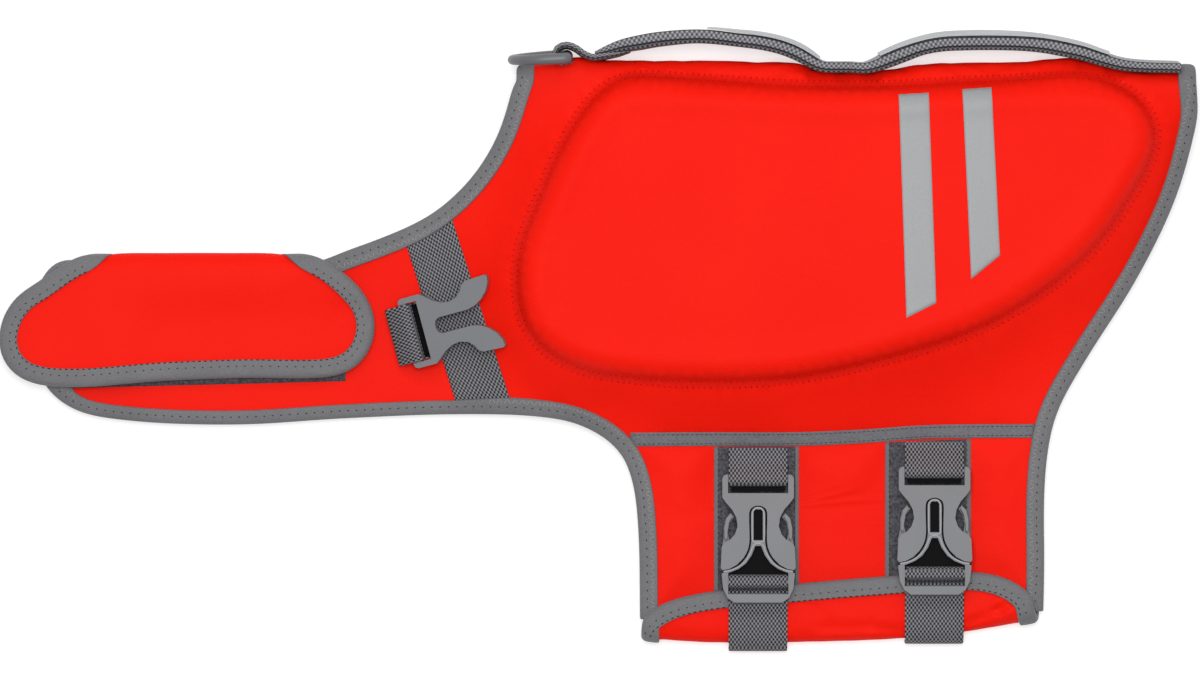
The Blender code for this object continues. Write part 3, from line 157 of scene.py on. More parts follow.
# ======================================================================= near side, upper body
# The left side of the jacket and its neck band: one cut of 3 mm neoprene with a knitted red face. A foam pad
# about 13 mm thick is sewn in behind it with a zig-zag seam, which pulls the cloth down into a groove.
PAD = (
    (11, 110.2), (-1, 104.2), (-11.5, 91), (-20, 75), (-28, 56), (-34, 40), (-35.7, 24),
    (-33, 8.5), (-24, -4), (-8, -12.7), (12, -16.3), (44, -18.3), (82, -16.3), (126, -6.7),
    (158, 4.2), (184, 19.2), (205.5, 37.5), (222, 61), (231, 80), (230.3, 92), (222.5, 103),
    (205, 109.6), (163, 109), (118, 106.8), (80, 107), (45, 109.3),
)
NECK_TO_LEG = (
    (-34.5, 113), (-37.5, 100), (-43, 84), (-54, 67), (-71, 52), (-100, 39.3),
    (-108, 36.6), (-114, 33.8), (-119, 32.2), (-126, 31.4), (-165, 31.2), (-200, 31.2),
    (-208, 31.4), (-214, 32.4), (-220, 34.6), (-228, 32.6), (-233.6, 24), (-236.2, 10),
    (-236.5, -5), (-231, -19), (-219, -28.6), (-196, -33), (-150, -34.6), (-108, -32.1),
    (-60, -30.3), (-25, -31.3), (-8, -34.7), (8.3, -45.4), (13.8, -58), (16.2, -78), (17, -118),
)
REAR = (
    (247.5, 113.2), (250, 105), (247, 86.5), (239.3, 59), (223, 25.4), (202, -8),
    (190, -30), (186, -48), (184.7, -72), (185, -92), (184, -112),
)
GROOVE_DEPTH = 1.2        # mm, of the sewn groove
GROOVE_HALF = 2.8
PUCKER = 0.28             # mm, height of the small gathers beside the seam
PUCKER_PITCH = 5.6
PUCKER_AT = 3.2           # mm from the seam
PUCKER_HALF = 2.6
ROLL = 1.5                # mm, fullness of the foam just inside the seam
ROLL_AT = 9.5
ROLL_HALF = 5.6
HELD_EDGE = 7.0           # mm of cloth that a ribbon holds in its shape
HELD_FADE = 6.0
HELD_SEAM = 4.0           # mm beside the seam that hardly evens out
SEAM_STIFF = 0.85
EVEN_ROUNDS = 10
FOLD_TOP = 112.0          # mm in y, where the cloth turns over the spine
FOLD_FADE = 12.0          # mm below it, over which the seam's relief grows to its full height
LEAST_RELIEF = 0.35       # share of the relief that reaches the fold
SPINE_RISES = (           # where webbing lifts the fold: x, half width and height, millimetres
    (-25.0, 7.0, 1.9), (-11.0, 12.0, 4.2), (9.0, 10.0, 0.6), (81.0, 11.0, 1.9), (104.0, 13.0, 1.7),
    (197.0, 17.0, 2.9), (228.0, 16.0, 1.0), (238.0, 7.0, 0.9),
)
RISE_FROM = 105.0         # mm in y
RISE_FADE = 8.0
NEOPRENE_HEX = ("ee1e0c", "e41105")
KNIT_PITCH = 0.0011       # m, drawn coarser than its 0.5 mm so that it shows
MERGE = 0.00001           # m
SMOOTH_ANGLE = math.radians(40)


def smooth_line(points, step, closed=False):
    """A smooth line through the points, as points about one step apart."""
    pts = np.array(points, float)
    ends = (pts[-1:], pts[:2]) if closed else (2 * pts[:1] - pts[1:2], 2 * pts[-1:] - pts[-2:-1])
    row = np.vstack([ends[0], pts, ends[1]])
    t = np.linspace(0, 1, 12, endpoint=False)[:, None]      # twelve places between each two points
    fine = []
    for before, here, there, after in zip(row, row[1:], row[2:], row[3:]):
        sides = ((before, here), (here, there), (there, after))
        a, b, c = (max(math.dist(p, q), 1e-6) ** 0.5 for p, q in sides)
        leave = ((here - before) / a - (there - before) / (a + b) + (there - here) / b) * b
        arrive = ((there - here) / b - (after - here) / (b + c) + (after - there) / c) * b
        fine.append(here * (2 * t ** 3 - 3 * t ** 2 + 1) + leave * (t ** 3 - 2 * t ** 2 + t)
                    + there * (3 * t ** 2 - 2 * t ** 3) + arrive * (t ** 3 - t ** 2))
    fine.append(pts[:1] if closed else pts[-1:])
    return spaced(np.vstack(fine), step)


def run_along(line):
    """How far along the line each of its points is."""
    return np.concatenate([[0.0], np.cumsum(np.linalg.norm(np.diff(line, axis=0), axis=1))])


def spaced(line, step):
    """The same line with its points one step apart."""
    along = run_along(line)
    at = np.linspace(0.0, along[-1], max(2, int(round(along[-1] / step)) + 1))
    return np.stack([np.interp(at, along, line[:, k]) for k in range(line.shape[1])], axis=1)


def heading(line):
    """The line's direction at each of its points."""
    ahead = np.gradient(line, axis=0)
    return ahead / np.linalg.norm(ahead, axis=1)[:, None]


def beside(line, distance):
    """The line moved to its left, seen along it."""
    ahead = heading(line)
    return line + distance * np.stack([-ahead[:, 1], ahead[:, 0]], axis=1)


def from_line(points, line):
    """For each plan point, its distance from a line and how far along the line the nearest place is."""
    run = line[1:] - line[:-1]
    long = np.linalg.norm(run, axis=1)
    start = np.concatenate([[0.0], np.cumsum(long)[:-1]])
    best = np.full(len(points), 1e9)
    place = np.zeros(len(points))
    for a, r, d, s in zip(line[:-1], run, long, start):
        t = np.clip(((points - a) @ r) / d ** 2, 0, 1)
        gap = np.linalg.norm(points - a - t[:, None] * r, axis=1)
        near = gap < best
        best[near] = gap[near]
        place[near] = s + t[near] * d
    return best, place


def inside(points, loop):
    """Which plan points are inside a closed loop."""
    odd = np.zeros(len(points), bool)
    for a, b in zip(loop, np.roll(loop, -1, axis=0)):
        if a[1] != b[1]:
            at = a[0] + (points[:, 1] - a[1]) * (b[0] - a[0]) / (b[1] - a[1])
            odd ^= ((a[1] > points[:, 1]) != (b[1] > points[:, 1])) & (points[:, 0] < at)
    return odd


def corners_of(piece):
    """Its vertices in millimetres, and their normals."""
    count = len(piece.data.vertices)
    found = []
    for source, field in ((piece.data.vertices, "co"), (piece.data.vertex_normals, "vector")):
        flat = np.empty(count * 3)
        source.foreach_get(field, flat)
        found.append(flat.reshape(-1, 3))
    return found[0] / MM, found[1]


def put_back(piece, points):
    """Move a piece's vertices to these points, in millimetres."""
    piece.data.vertices.foreach_set("co", (points * MM).ravel())
    piece.data.update()


def open_all(piece):
    """Open a piece in edit mode, all of it selected."""
    only(piece)
    bpy.ops.object.mode_set(mode="EDIT")
    bpy.ops.mesh.select_all(action="SELECT")


def shell_of(node, name, levels, quads=True, hold=0.0):
    """A new piece on the form of a CAD node: its doubles merged, then subdivided and smooth.

    hold, from 0 to 1, keeps its sharp edges from being rounded away.
    """
    piece = bpy.data.objects.new(name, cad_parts[node].data.copy())
    bpy.context.scene.collection.objects.link(piece)
    piece.data.name = name
    piece.data.materials.clear()
    only(piece)
    bpy.ops.mesh.customdata_custom_splitnormals_clear()
    open_all(piece)
    bpy.ops.mesh.remove_doubles(threshold=MERGE)
    if quads:
        bpy.ops.mesh.tris_convert_to_quads(face_threshold=math.radians(35), shape_threshold=math.radians(60))
    bpy.ops.mesh.mark_sharp(clear=True)
    if hold:
        bpy.ops.mesh.select_mode(type="EDGE")
        bpy.ops.mesh.select_all(action="DESELECT")
        bpy.ops.mesh.edges_select_sharp(sharpness=math.radians(50))
        bpy.ops.transform.edge_crease(value=hold)
        bpy.ops.mesh.select_mode(type="VERT")
    bpy.ops.object.mode_set(mode="OBJECT")
    if levels:
        bpy.ops.object.modifier_add(type="SUBSURF")
        piece.modifiers[0].levels = piece.modifiers[0].render_levels = levels
        bpy.ops.object.modifier_apply(modifier=piece.modifiers[0].name)
    if hold:
        bpy.ops.object.shade_smooth_by_angle(angle=SMOOTH_ANGLE)
    else:
        bpy.ops.object.shade_smooth()
    return piece


def fill_out(piece, by):
    """Make a piece fuller all over."""
    points, normals = corners_of(piece)
    put_back(piece, points + normals * by)


def relax(piece, share, rounds):
    """Even out a piece's surface. share gives how far each vertex may go, from 0 to 1."""
    points, _ = corners_of(piece)
    ends = np.empty(len(piece.data.edges) * 2, int)
    piece.data.edges.foreach_get("vertices", ends)
    one, other = ends.reshape(-1, 2).T
    count = len(points)
    degree = np.bincount(ends, minlength=count)[:, None]
    for _ in range(rounds):
        total = np.stack([
            np.bincount(one, points[other, k], count) + np.bincount(other, points[one, k], count)
            for k in range(3)
        ], axis=1)
        points += share[:, None] * 0.5 * (total / degree - points)
    put_back(piece, points)


def fit(piece, body, slot, material, *nodes):
    """Give a piece its material, and let it ride in place of CAD nodes. slot is not used."""
    piece.data.materials.clear()
    piece.data.materials.append(material)
    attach(piece, body)
    if nodes:
        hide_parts(*nodes)
    return piece


def neoprene(name, hexes, pitch):
    """Knit-faced neoprene: matt, with a fine knit of this pitch and a faint unevenness of the dye."""
    material = new_material(name, Roughness=0.6, Specular_IOR_Level=0.06)
    place = add_node(material, "TexCoord").outputs["Object"]
    cloud = add_node(material, "TexNoise", Vector=place, Scale=24.0, Detail=3.0)
    knit = add_node(material, "TexNoise", Vector=place, Scale=1 / pitch, Detail=2.0)
    both = add_node(material, "Math", operation="MULTIPLY_ADD", in0=knit, in1=0.45, in2=0.02)
    total = add_node(material, "Math", operation="MULTIPLY_ADD", in0=cloud, in1=0.55, in2=both)
    return finish(material, total, hexes, knit, 0.3, 0.00025)


LINE_STEP = 3.0           # mm
EDGE_IN = 1.3             # mm from a ribbon's outline to the edge of the cloth inside it
pad_line = smooth_line(PAD, LINE_STEP, closed=True)
neck_line = beside(smooth_line(NECK_TO_LEG, LINE_STEP), EDGE_IN)
rear_line = beside(smooth_line(REAR, LINE_STEP), -EDGE_IN)
red_neoprene = neoprene("red_knit_faced_neoprene", NEOPRENE_HEX, KNIT_PITCH)


def padded_side(node, name, up):
    """One padded side with its groove and gathers. up is 1 where its outer face looks up."""
    piece = shell_of(node, name, 2, quads=False)
    points, normals = corners_of(piece)
    plan = points[:, :2]
    edge = np.minimum(from_line(plan, neck_line)[0], from_line(plan, rear_line)[0])
    free = np.clip((edge - HELD_EDGE) / HELD_FADE, 0, 1) * np.clip((np.abs(normals[:, 2]) - 0.45) / 0.3, 0, 1)
    away, _ = from_line(plan, pad_line)
    near_seam = np.exp(-(away / HELD_SEAM) ** 2)
    relax(piece, free * (1 - SEAM_STIFF * near_seam), EVEN_ROUNDS)
    points, normals = corners_of(piece)
    away, along = from_line(points[:, :2], pad_line)
    outer = np.clip((normals[:, 2] * up - 0.2) / 0.3, 0, 1)
    from_spine = np.clip((FOLD_TOP - points[:, 1]) / FOLD_FADE, LEAST_RELIEF, 1)
    groove = -GROOVE_DEPTH * from_spine * np.exp(-(away / GROOVE_HALF) ** 2)
    gather = PUCKER * np.sin(2 * math.pi * along / PUCKER_PITCH)
    gather *= np.exp(-((away - PUCKER_AT) / PUCKER_HALF) ** 2)
    within = inside(points[:, :2], pad_line) * from_spine
    roll = ROLL * within * np.exp(-((away - ROLL_AT) / ROLL_HALF) ** 2)
    points += normals * (outer * (groove + gather + roll))[:, None]
    for at, half, rise in SPINE_RISES:
        over_fold = np.clip((points[:, 1] - RISE_FROM) / RISE_FADE, 0, 1)
        points[:, 1] += rise * (np.exp(-((points[:, 0] - at) / half) ** 2) * over_fold)
    points[:, 2] = np.maximum(points[:, 2], 0.0)        # the pad is pressed flat where it rests
    put_back(piece, points)
    return piece


near_side = padded_side("near_upper_panel", "near_side_padded_body", 1)
fit(near_side, "jacket", "neoprene", red_neoprene, "near_upper_panel")


# ======================================================================= near side, lower panel
# The left lower side between the leg and the tail: a plain cut of the same neoprene, sewn to the upper body
# along the side seam. The belly overlap lies on its lower edge.
near_lower = shell_of("near_lower_panel", "near_lower_side", 3, quads=False)
fit(near_lower, "jacket", "neoprene", red_neoprene, "near_lower_panel")


# ======================================================================= far side
# The right side of the jacket: the same upper body with its pad, and the belly panel, which is carried round
# the bottom fold and laid over the left side, where the belly straps hold it.
far_side = padded_side("far_upper_panel", "far_side_padded_body", -1)
fit(far_side, "jacket", "neoprene", red_neoprene, "far_upper_panel")
belly = shell_of("belly_panel", "belly_overlap", 2, quads=False)
BELLY_CREASES = (         # small creases over the fold: start, end, depth and half width, millimetres
    ((92.0, -119.4), (112.0, -119.0), 0.7, 1.6), ((112.0, -119.0), (131.0, -121.0), 0.7, 1.6),
    ((152.0, -118.0), (166.0, -112.0), 0.9, 1.5), ((166.0, -112.0), (175.0, -106.5), 0.8, 1.4),
    ((90.0, -112.0), (97.0, -120.0), 0.4, 2.2),
)


def crease(piece, lines):
    """Press short creases into the upward face of a piece."""
    points, normals = corners_of(piece)
    up = np.clip(normals[:, 2], 0, 1)
    for start, end, depth, width in lines:
        away, _ = from_line(points[:, :2], np.array([start, end]))
        points[:, 2] -= up * depth * np.exp(-(away / width) ** 2)
        points[:, 2] += up * 0.5 * depth * np.exp(-((away - 2.6 * width) / width) ** 2)
    put_back(piece, points)


crease(belly, BELLY_CREASES)
fit(belly, "jacket", "neoprene", red_neoprene, "belly_panel")


# ======================================================================= neck flap
# A separate cut of neoprene sewn to the right neck band, folded over the top of the left band and held by
# hook and loop. It crowns a little where it lies over the bindings.
flap = shell_of("neck_flap", "neck_flap_cloth", 2, quads=False)
fit(flap, "jacket", "neoprene", red_neoprene, "neck_flap")


# ======================================================================= edge bindings
# Each raw edge is folded into a grey stretch ribbon, 7 mm wide on each face, and sewn through: a row of
# needle holes along its middle and a zig-zag seam beside its inner edge.
FLAP = (
    (-209, 49), (-209.8, 41), (-213.5, 36.6), (-219, 34), (-225, 30.3), (-233.5, 24.2),
    (-242, 18.8), (-248, 10), (-250, 0.6), (-248, -8.3), (-241.7, -15), (-233, -18),
    (-217, -18.9), (-183, -16.3), (-150, -15), (-108, -13.8), (-98.8, -8), (-94, 3),
    (-94.6, 12), (-100, 21.8), (-108, 29), (-117, 34.6), (-122.5, 37.4), (-126.3, 42),
    (-127, 49),
)
WRAP_LINE = (
    (14.9, -119.4), (16.7, -116.4), (25, -110), (41.7, -105.3), (83, -101.2), (117, -98.4),
    (152, -96.3), (164, -97.4), (173.5, -101), (179.8, -106.4), (181.6, -112),
)
FLAP_TOP = 37.0           # mm in y, the flap's fold
FLAP_BEND = 2.5           # mm over which its ribbon turns along the fold
LOW_RUN = (-232.0, -214.0, -62.0, -38.0)    # mm in x, where the band's lower ribbon is turned further under
LOW_RUN_BELOW = -20.0     # mm in y
LOW_RUN_DROP = 1.7        # mm that its inner edge is taken down
RIBBON_FULLNESS = 0.4     # mm
DRAWN_ENDS = (            # ribbon, y where nothing moves, y of its end, how far that is drawn out, and down
    ("near_rear_binding", -88.0, -101.0, -11.0, 0.8), ("near_rear_binding", 100.0, 112.0, 3.0, 0.0),
    ("near_front_binding", -92.0, -106.0, -6.5, 0.8), ("near_front_binding", 104.0, 113.5, 1.3, 0.0),
)
BINDINGS = (
    "near_front_binding", "near_rear_binding", "far_neck_binding", "far_leg_binding", "far_rear_binding",
    "flap_binding", "belly_binding",
)


def fabric_ribbon(name, hexes, pitch, strength):
    """Knitted or woven ribbon: matt, with a fine grain of yarns one pitch apart and a faint wear."""
    material = new_material(name, Roughness=0.7, Specular_IOR_Level=0.25, Sheen_Weight=0.08)
    place = add_node(material, "TexCoord").outputs["Object"]
    grain = add_node(material, "TexNoise", Vector=place, Scale=1 / pitch, Detail=3.0)
    wear = add_node(material, "TexNoise", Vector=place, Scale=55.0, Detail=2.0)
    total = add_node(material, "Math", operation="MULTIPLY_ADD", in0=wear, in1=0.5, in2=grain)
    spread = add_node(material, "MapRange", Value=total, From_Min=0.45, From_Max=1.05)
    return finish(material, spread, hexes, grain, strength, 0.0003)


def draw_out(piece, start, end, by, drop):
    """Lengthen the end of a ribbon along Y: nothing moves at start, and all of the shift is taken at end."""
    points, _ = corners_of(piece)
    share = np.clip((points[:, 1] - start) / (end - start), 0, 1)
    points[:, 1] += share * by
    points[:, 2] -= share * drop
    put_back(piece, points)


grey_ribbon = fabric_ribbon("grey_stretch_ribbon", ("636366", "737376"), 0.0008, 0.35)
ribbons = {}
for node in BINDINGS:
    ribbon = shell_of(node, node + "_ribbon", 2, hold=0.9)
    fill_out(ribbon, RIBBON_FULLNESS)
    if node == "flap_binding":
        points, _ = corners_of(ribbon)
        past = np.maximum(points[:, 1] - (FLAP_TOP - FLAP_BEND), 0) / FLAP_BEND
        points[:, 1] = np.minimum(points[:, 1], FLAP_TOP - FLAP_BEND * np.exp(-past))
        put_back(ribbon, points)
    if node == "near_front_binding":
        points, _ = corners_of(ribbon)
        away, _ = from_line(points[:, :2], neck_line)
        share = np.interp(points[:, 0], LOW_RUN, (0, 1, 1, 0)) * np.clip((away - 2.5) / 3, 0, 1)
        points[:, 1] -= LOW_RUN_DROP * share * (points[:, 1] < LOW_RUN_BELOW)
        put_back(ribbon, points)
    ribbons[node] = fit(ribbon, "jacket", "binding", grey_ribbon, node)
for node, start, end, by, drop in DRAWN_ENDS:
    draw_out(ribbons[node], start, end, by, drop)
flap_line = beside(smooth_line(FLAP, LINE_STEP), EDGE_IN)
wrap_line = beside(smooth_line(WRAP_LINE, LINE_STEP), -EDGE_IN)


# ======================================================================= thread
# All seams are sewn with polyester thread: grey on the ribbons, deep red round the pad. The needle holes show
# as dark specks of painted shade where the thread goes down, and the near-black stitch rows on the tapes and
# at the ribbons' inner edges are drawn in the same painted shade.
SIDE_ROWS = (1.6, 3.8)    # mm from the edge of the cloth to a ribbon's needle holes and to its second row
FOLD_ROWS = (3.2, 5.7)    # the same on the flap and the belly overlap
SPINE_STOP = (111.0, 112.0)         # mm in y, where the rows of the neck and of the rear end
FLAP_STOP = 34.0
HOLE_PITCH = 3.5          # mm
HOLE_LENGTH = 0.35
SHORT_STITCH = (2.4, 0.9)           # mm, pitch and length of the near-black stitches at a ribbon's inner edge, which also paint the shade along that edge
ZIGZAG_PITCH = 3.2
ZIGZAG_REACH = 1.3
PAD_STITCH_PITCH = 2.4
PAD_STITCH_REACH = 1.2
PAD_HOLE_REACH = 1.3
PAD_HOLE_LENGTH = 0.15
HIGHEST_STEP = 4.0        # mm between a stitch's ends, past which it is left out
ABOVE_ALL = 90.0          # mm, a level over the whole jacket
grey_thread = new_material("grey_polyester_thread", Base_Color=colour("94948f"), Roughness=0.55)
red_thread = new_material("red_polyester_thread", Base_Color=colour("cc110a"), Roughness=0.7)
hole_shade = new_material("needle_hole_shade", Base_Color=colour("343436"), Roughness=1.0, Specular_IOR_Level=0.0)
red_hole_shade = new_material("red_needle_hole", Base_Color=colour("960a05"), Roughness=1.0, Specular_IOR_Level=0.0)


def tree_over(*pieces):
    """What a needle or a strip meets from above."""
    points, faces = [], []
    for piece in pieces:
        first = len(points)
        points += [v.co / MM for v in piece.data.vertices]
        faces += [tuple(first + i for i in f.vertices) for f in piece.data.polygons]
    return BVHTree.FromPolygons(points, faces)


def top(tree, x, y):
    """The level of what is met from above at a plan point, or None where nothing is."""
    hit = tree.ray_cast(Vector((x, y, ABOVE_ALL)), Vector((0, 0, -1)))[0]
    return hit.z if hit else None


bpy.ops.mesh.primitive_uv_sphere_add(segments=6, ring_count=4, radius=1.0)
bead = bpy.context.object
bead_points = np.array([v.co[:] for v in bead.data.vertices])
bead_faces = sorted(tuple(f.vertices) for f in bead.data.polygons)
bpy.data.objects.remove(bead)


def new_piece(name, points, faces):
    """A piece from its points, in millimetres, and its faces."""
    mesh = bpy.data.meshes.new(name)
    mesh.from_pydata([tuple(p) for p in np.array(points) * MM], [], faces)
    piece = bpy.data.objects.new(name, mesh)
    bpy.context.scene.collection.objects.link(piece)
    return piece


def sew(name, runs, tree, radius, sink, material, slot="binding"):
    """A row of stitches: each run is a pair of plan points, and its thread lies on what the needle meets."""
    points, faces = [], []
    for start, end in runs:
        levels = [top(tree, *p) for p in (start, (np.array(start) + end) / 2, end)]
        if None in levels or max(levels) - min(levels) > HIGHEST_STEP:
            continue
        a, b = np.array([*start, levels[0] - sink]), np.array([*end, levels[2] - sink])
        along = b - a
        long = np.linalg.norm(along)
        along /= long
        side = np.array([-along[1], along[0], 0.0])
        side /= np.linalg.norm(side)
        up = np.cross(along, side)
        middle = (a + b) / 2
        middle[2] = max(middle[2], levels[1] - sink)
        shape = middle + np.outer(bead_points[:, 0] * (long / 2 + radius), along)
        shape += np.outer(bead_points[:, 1] * radius, side) + np.outer(bead_points[:, 2] * radius, up)
        faces += [tuple(len(points) + i for i in face) for face in bead_faces]
        points += list(shape)
    piece = new_piece(name, points, faces)
    piece.data.shade_smooth()
    return fit(piece, "jacket", slot, material)


def zigzag(line, pitch, reach):
    """Pairs of points that cross a line from side to side."""
    middle = spaced(line, pitch / 2)
    left, right = beside(middle, reach), beside(middle, -reach)
    zig = [left[i] if i % 2 else right[i] for i in range(len(middle))]
    return list(zip(zig[:-1], zig[1:]))


def dashes(line, pitch, length):
    """Pairs of points one pitch apart along a line, each pair one stitch."""
    middle = spaced(line, pitch)
    return [(p - t * length / 2, p + t * length / 2) for p, t in zip(middle, heading(middle))]


near_ribbons = tree_over(ribbons["near_front_binding"], ribbons["near_rear_binding"])
holes, seams = [], []
for line, stop, side in ((neck_line, SPINE_STOP[0], 1), (rear_line, SPINE_STOP[1], -1)):
    line = line[line[:, 1] < stop]
    holes += dashes(beside(line, SIDE_ROWS[0] * side), HOLE_PITCH, HOLE_LENGTH)
    seams += zigzag(beside(line, SIDE_ROWS[1] * side), ZIGZAG_PITCH, ZIGZAG_REACH)
sew("side_ribbon_holes", holes, near_ribbons, 0.34, 0.12, hole_shade)
sew("side_ribbon_zigzag", seams, near_ribbons, 0.14, 0.02, grey_thread)
for part, line, side in (("flap", flap_line[flap_line[:, 1] < FLAP_STOP], 1), ("belly", wrap_line, -1)):
    rows = dashes(beside(line, FOLD_ROWS[0] * side), HOLE_PITCH, HOLE_LENGTH)
    rows += dashes(beside(line, FOLD_ROWS[1] * side), *SHORT_STITCH)
    sew(f"{part}_ribbon_holes", rows, tree_over(ribbons[f"{part}_binding"]), 0.32, 0.12, hole_shade)

near_tree = tree_over(near_side)
crossings = zigzag(pad_line, PAD_STITCH_PITCH, PAD_STITCH_REACH)
sew("pad_seam_thread", crossings, near_tree, 0.12, 0.06, red_thread, "neoprene")
holes = [(b, b + (PAD_HOLE_LENGTH, 0.0)) for _, b in zigzag(pad_line, PAD_STITCH_PITCH, PAD_HOLE_REACH)]
sew("pad_seam_holes", holes, near_tree, 0.27, 0.12, red_hole_shade, "neoprene")


# ======================================================================= tapes and strips on the near side
# Brushed loop tape for the neck flap and the belly, grosgrain over the side seam, a run of webbing across the
# shoulder, and two pale reflective films bonded to the pad. All lie flat on the cloth.
SIDE_SEAM = ((0.0, -41.2), (40.0, -40.9), (85.0, -40.8), (112.0, -39.6), (135.0, -38.0), (192.0, -37.4))
SEAM_TAPE_RUN = (12.5, 181.5, 86)   # mm in x from and to, and how many rows
SEAM_TAPE_ACROSS = (2.9, 2.5, 1.5, 0.0, -1.5, -2.5, -2.9)
SEAM_STITCH_OUT = 1.9     # mm from its middle
SEAM_STITCH = (2.0, 1.2)            # mm, pitch and length
REFLECTIVE = (
    ("reflective_strip_front", (123.7, 102.2), (136.2, 102.9), (126.9, 9.5), (139.3, 15.7)),
    ("reflective_strip_rear", (150.1, 104.3), (162.2, 105.2), (153.7, 25.6), (165.7, 35.4)),
)
NECK_TAPE = ((-226.0, 20.0), (-106.0, 21.0), (-226.0, -19.8), (-106.0, -16.8))
SHOULDER_WEBBING = ((-80.8, 40.2), (-61.6, 50.9), (-59.9, -26.2), (-36.8, -26.2))
BELLY_TAPES = (("belly_loop_tape_front", 47.5, 82.9), ("belly_loop_tape_rear", 118.8, 154.6))
BELLY_TAPE_WIDTH = 0.0356           # m
BELLY_TAPE_TOP = 3.2      # mm below the side seam
BELLY_TAPE_END = -110.0
TAPE_THICK = 0.8          # mm
FILM_THICK = 0.3
WEBBING_THICK = 1.3
RIM = 0.8                 # mm over which a strip's rims turn down
BAY_FULLNESS = 1.9        # mm
BAY_RISE = 12.0           # mm, over which the cloth rises beside a tape
RIBBON_REACH = 6.0        # mm, from the cloth's edge to a ribbon's inner edge
SEAM_TAPE_HALF = 3.0
SELVEDGE = 1.7            # mm
SELVEDGE_STITCH = (2.2, 1.3)        # mm, pitch and length
SELVEDGE_STITCH_END = -104.0
SELVEDGE_HEX = "6c6c70"
seam_line = smooth_line(SIDE_SEAM, 2.0)


def seam_at(x):
    """The side seam's y at x."""
    return np.interp(x, seam_line[:, 0], seam_line[:, 1])


def woven(name, hexes, across, along, strength, bands=()):
    """Woven webbing on its own UV map, in metres: light crowns of yarn set like bricks between dark hollows.

    bands are runs along it in other colours, such as painted shade, each a pair of colours with the UV range
    that it takes.
    """
    material = new_material(name, Roughness=0.65, Specular_IOR_Level=0.25)
    place = add_node(material, "UVMap", uv_map="weave").outputs["UV"]
    apart = add_node(material, "SeparateXYZ", Vector=place)
    waves = []
    for axis, pitch in (("X", along), ("Y", across)):
        angle = add_node(material, "Math", operation="MULTIPLY", in0=apart.outputs[axis],
                         in1=2 * math.pi / pitch)
        waves.append(add_node(material, "Math", operation="COSINE", in0=angle))
    crown = add_node(material, "Math", operation="MULTIPLY", in0=waves[0], in1=waves[1])
    yarn = add_node(material, "TexNoise", Vector=place, Scale=1500.0, Detail=2.0)
    total = add_node(material, "Math", operation="MULTIPLY_ADD", in0=yarn, in1=1.1, in2=crown)
    level = add_node(material, "MapRange", Value=total, From_Min=0.0, From_Max=1.2)
    over = []
    for low, high, start, end in bands:
        other = add_node(material, "Mix", data_type="RGBA", in0=level, in6=colour(low), in7=colour(high))
        past = add_node(material, "Math", operation="GREATER_THAN", in0=apart.outputs["Y"], in1=start)
        short = add_node(material, "Math", operation="LESS_THAN", in0=apart.outputs["Y"], in1=end)
        both = add_node(material, "Math", operation="MULTIPLY", in0=past, in1=short)
        over.append((both, other.outputs[2]))
    return finish(material, level, hexes, level, strength, 0.0003, over)


def brushed(name, hexes, wide=None):
    """Loop tape: a dense, dark, brushed pile of fine curls. One whose width is given has pale selvedges."""
    material = new_material(name, Roughness=0.95, Specular_IOR_Level=0.15)
    place = add_node(material, "TexCoord").outputs["Object"]
    curls = add_node(material, "TexNoise", Vector=place, Scale=900.0, Detail=4.0, Roughness=0.7)
    level = add_node(material, "MapRange", Value=curls, From_Min=0.35, From_Max=0.68)
    over = []
    if wide:
        layout = add_node(material, "UVMap", uv_map="weave").outputs["UV"]
        apart = add_node(material, "SeparateXYZ", Vector=layout)
        off_centre = add_node(material, "Math", operation="SUBTRACT", in0=apart.outputs["Y"], in1=wide / 2)
        off_centre = add_node(material, "Math", operation="ABSOLUTE", in0=off_centre)
        rim = add_node(material, "Math", operation="GREATER_THAN", in0=off_centre,
                       in1=wide / 2 - SELVEDGE * MM)
        over.append((rim, colour(SELVEDGE_HEX)))
    return finish(material, level, hexes, curls, 0.8, 0.0006, over)


def faces_out(piece):
    """Turn all faces of a closed piece outwards."""
    open_all(piece)
    bpy.ops.mesh.normals_make_consistent(inside=False)
    bpy.ops.object.mode_set(mode="OBJECT")


def laid_strip(name, rows, thickness, tree, lift=0.05, tuck=0.8):
    """A strip from rows of plan points, laid on what it meets, its rims turned down and its ends thinned."""
    rows = np.array(rows)
    count, wide = rows.shape[:2]
    low = np.zeros((count, wide))
    for i in range(count):
        for j in range(wide):
            found = top(tree, *rows[i, j])
            low[i, j] = found if found is not None else low[i, j - 1]
    ahead = np.linalg.norm(np.diff(rows, axis=0), axis=2).mean(axis=1)
    along = np.concatenate([[0.0], np.cumsum(ahead)])
    across = np.concatenate([[0.0], np.cumsum(np.linalg.norm(np.diff(rows, axis=1), axis=2).mean(axis=0))])
    rim = 0.45 + 0.55 * np.clip(np.minimum(across, across[-1] - across) / RIM, 0, 1)
    end = np.clip(np.minimum(along, along[-1] - along) / tuck, 0.15, 1)
    high = low + lift + thickness * rim * end[:, None]
    points = [(*rows[i, j], z[i, j]) for z in (low + lift, high) for i in range(count) for j in range(wide)]
    level = count * wide
    faces = []
    for i in range(count - 1):
        for j in range(wide - 1):
            quad = (i * wide + j, i * wide + j + 1, (i + 1) * wide + j + 1, (i + 1) * wide + j)
            faces += [tuple(level + k for k in reversed(quad)), quad]
    ring = [(0, j) for j in range(wide)] + [(i, wide - 1) for i in range(1, count)]
    ring += [(count - 1, j) for j in range(wide - 2, -1, -1)] + [(i, 0) for i in range(count - 2, 0, -1)]
    loop = [i * wide + j for i, j in ring]
    faces += [(a, level + a, level + b, b) for a, b in zip(loop, loop[1:] + loop[:1])]
    piece = new_piece(name, points, faces)
    faces_out(piece)
    piece.data.shade_smooth()
    layout = piece.data.uv_layers.new(name="weave")
    for loop in piece.data.loops:
        i, j = divmod(loop.vertex_index % level, wide)
        layout.data[loop.index].uv = (along[i] * MM, across[j] * MM)
    return piece


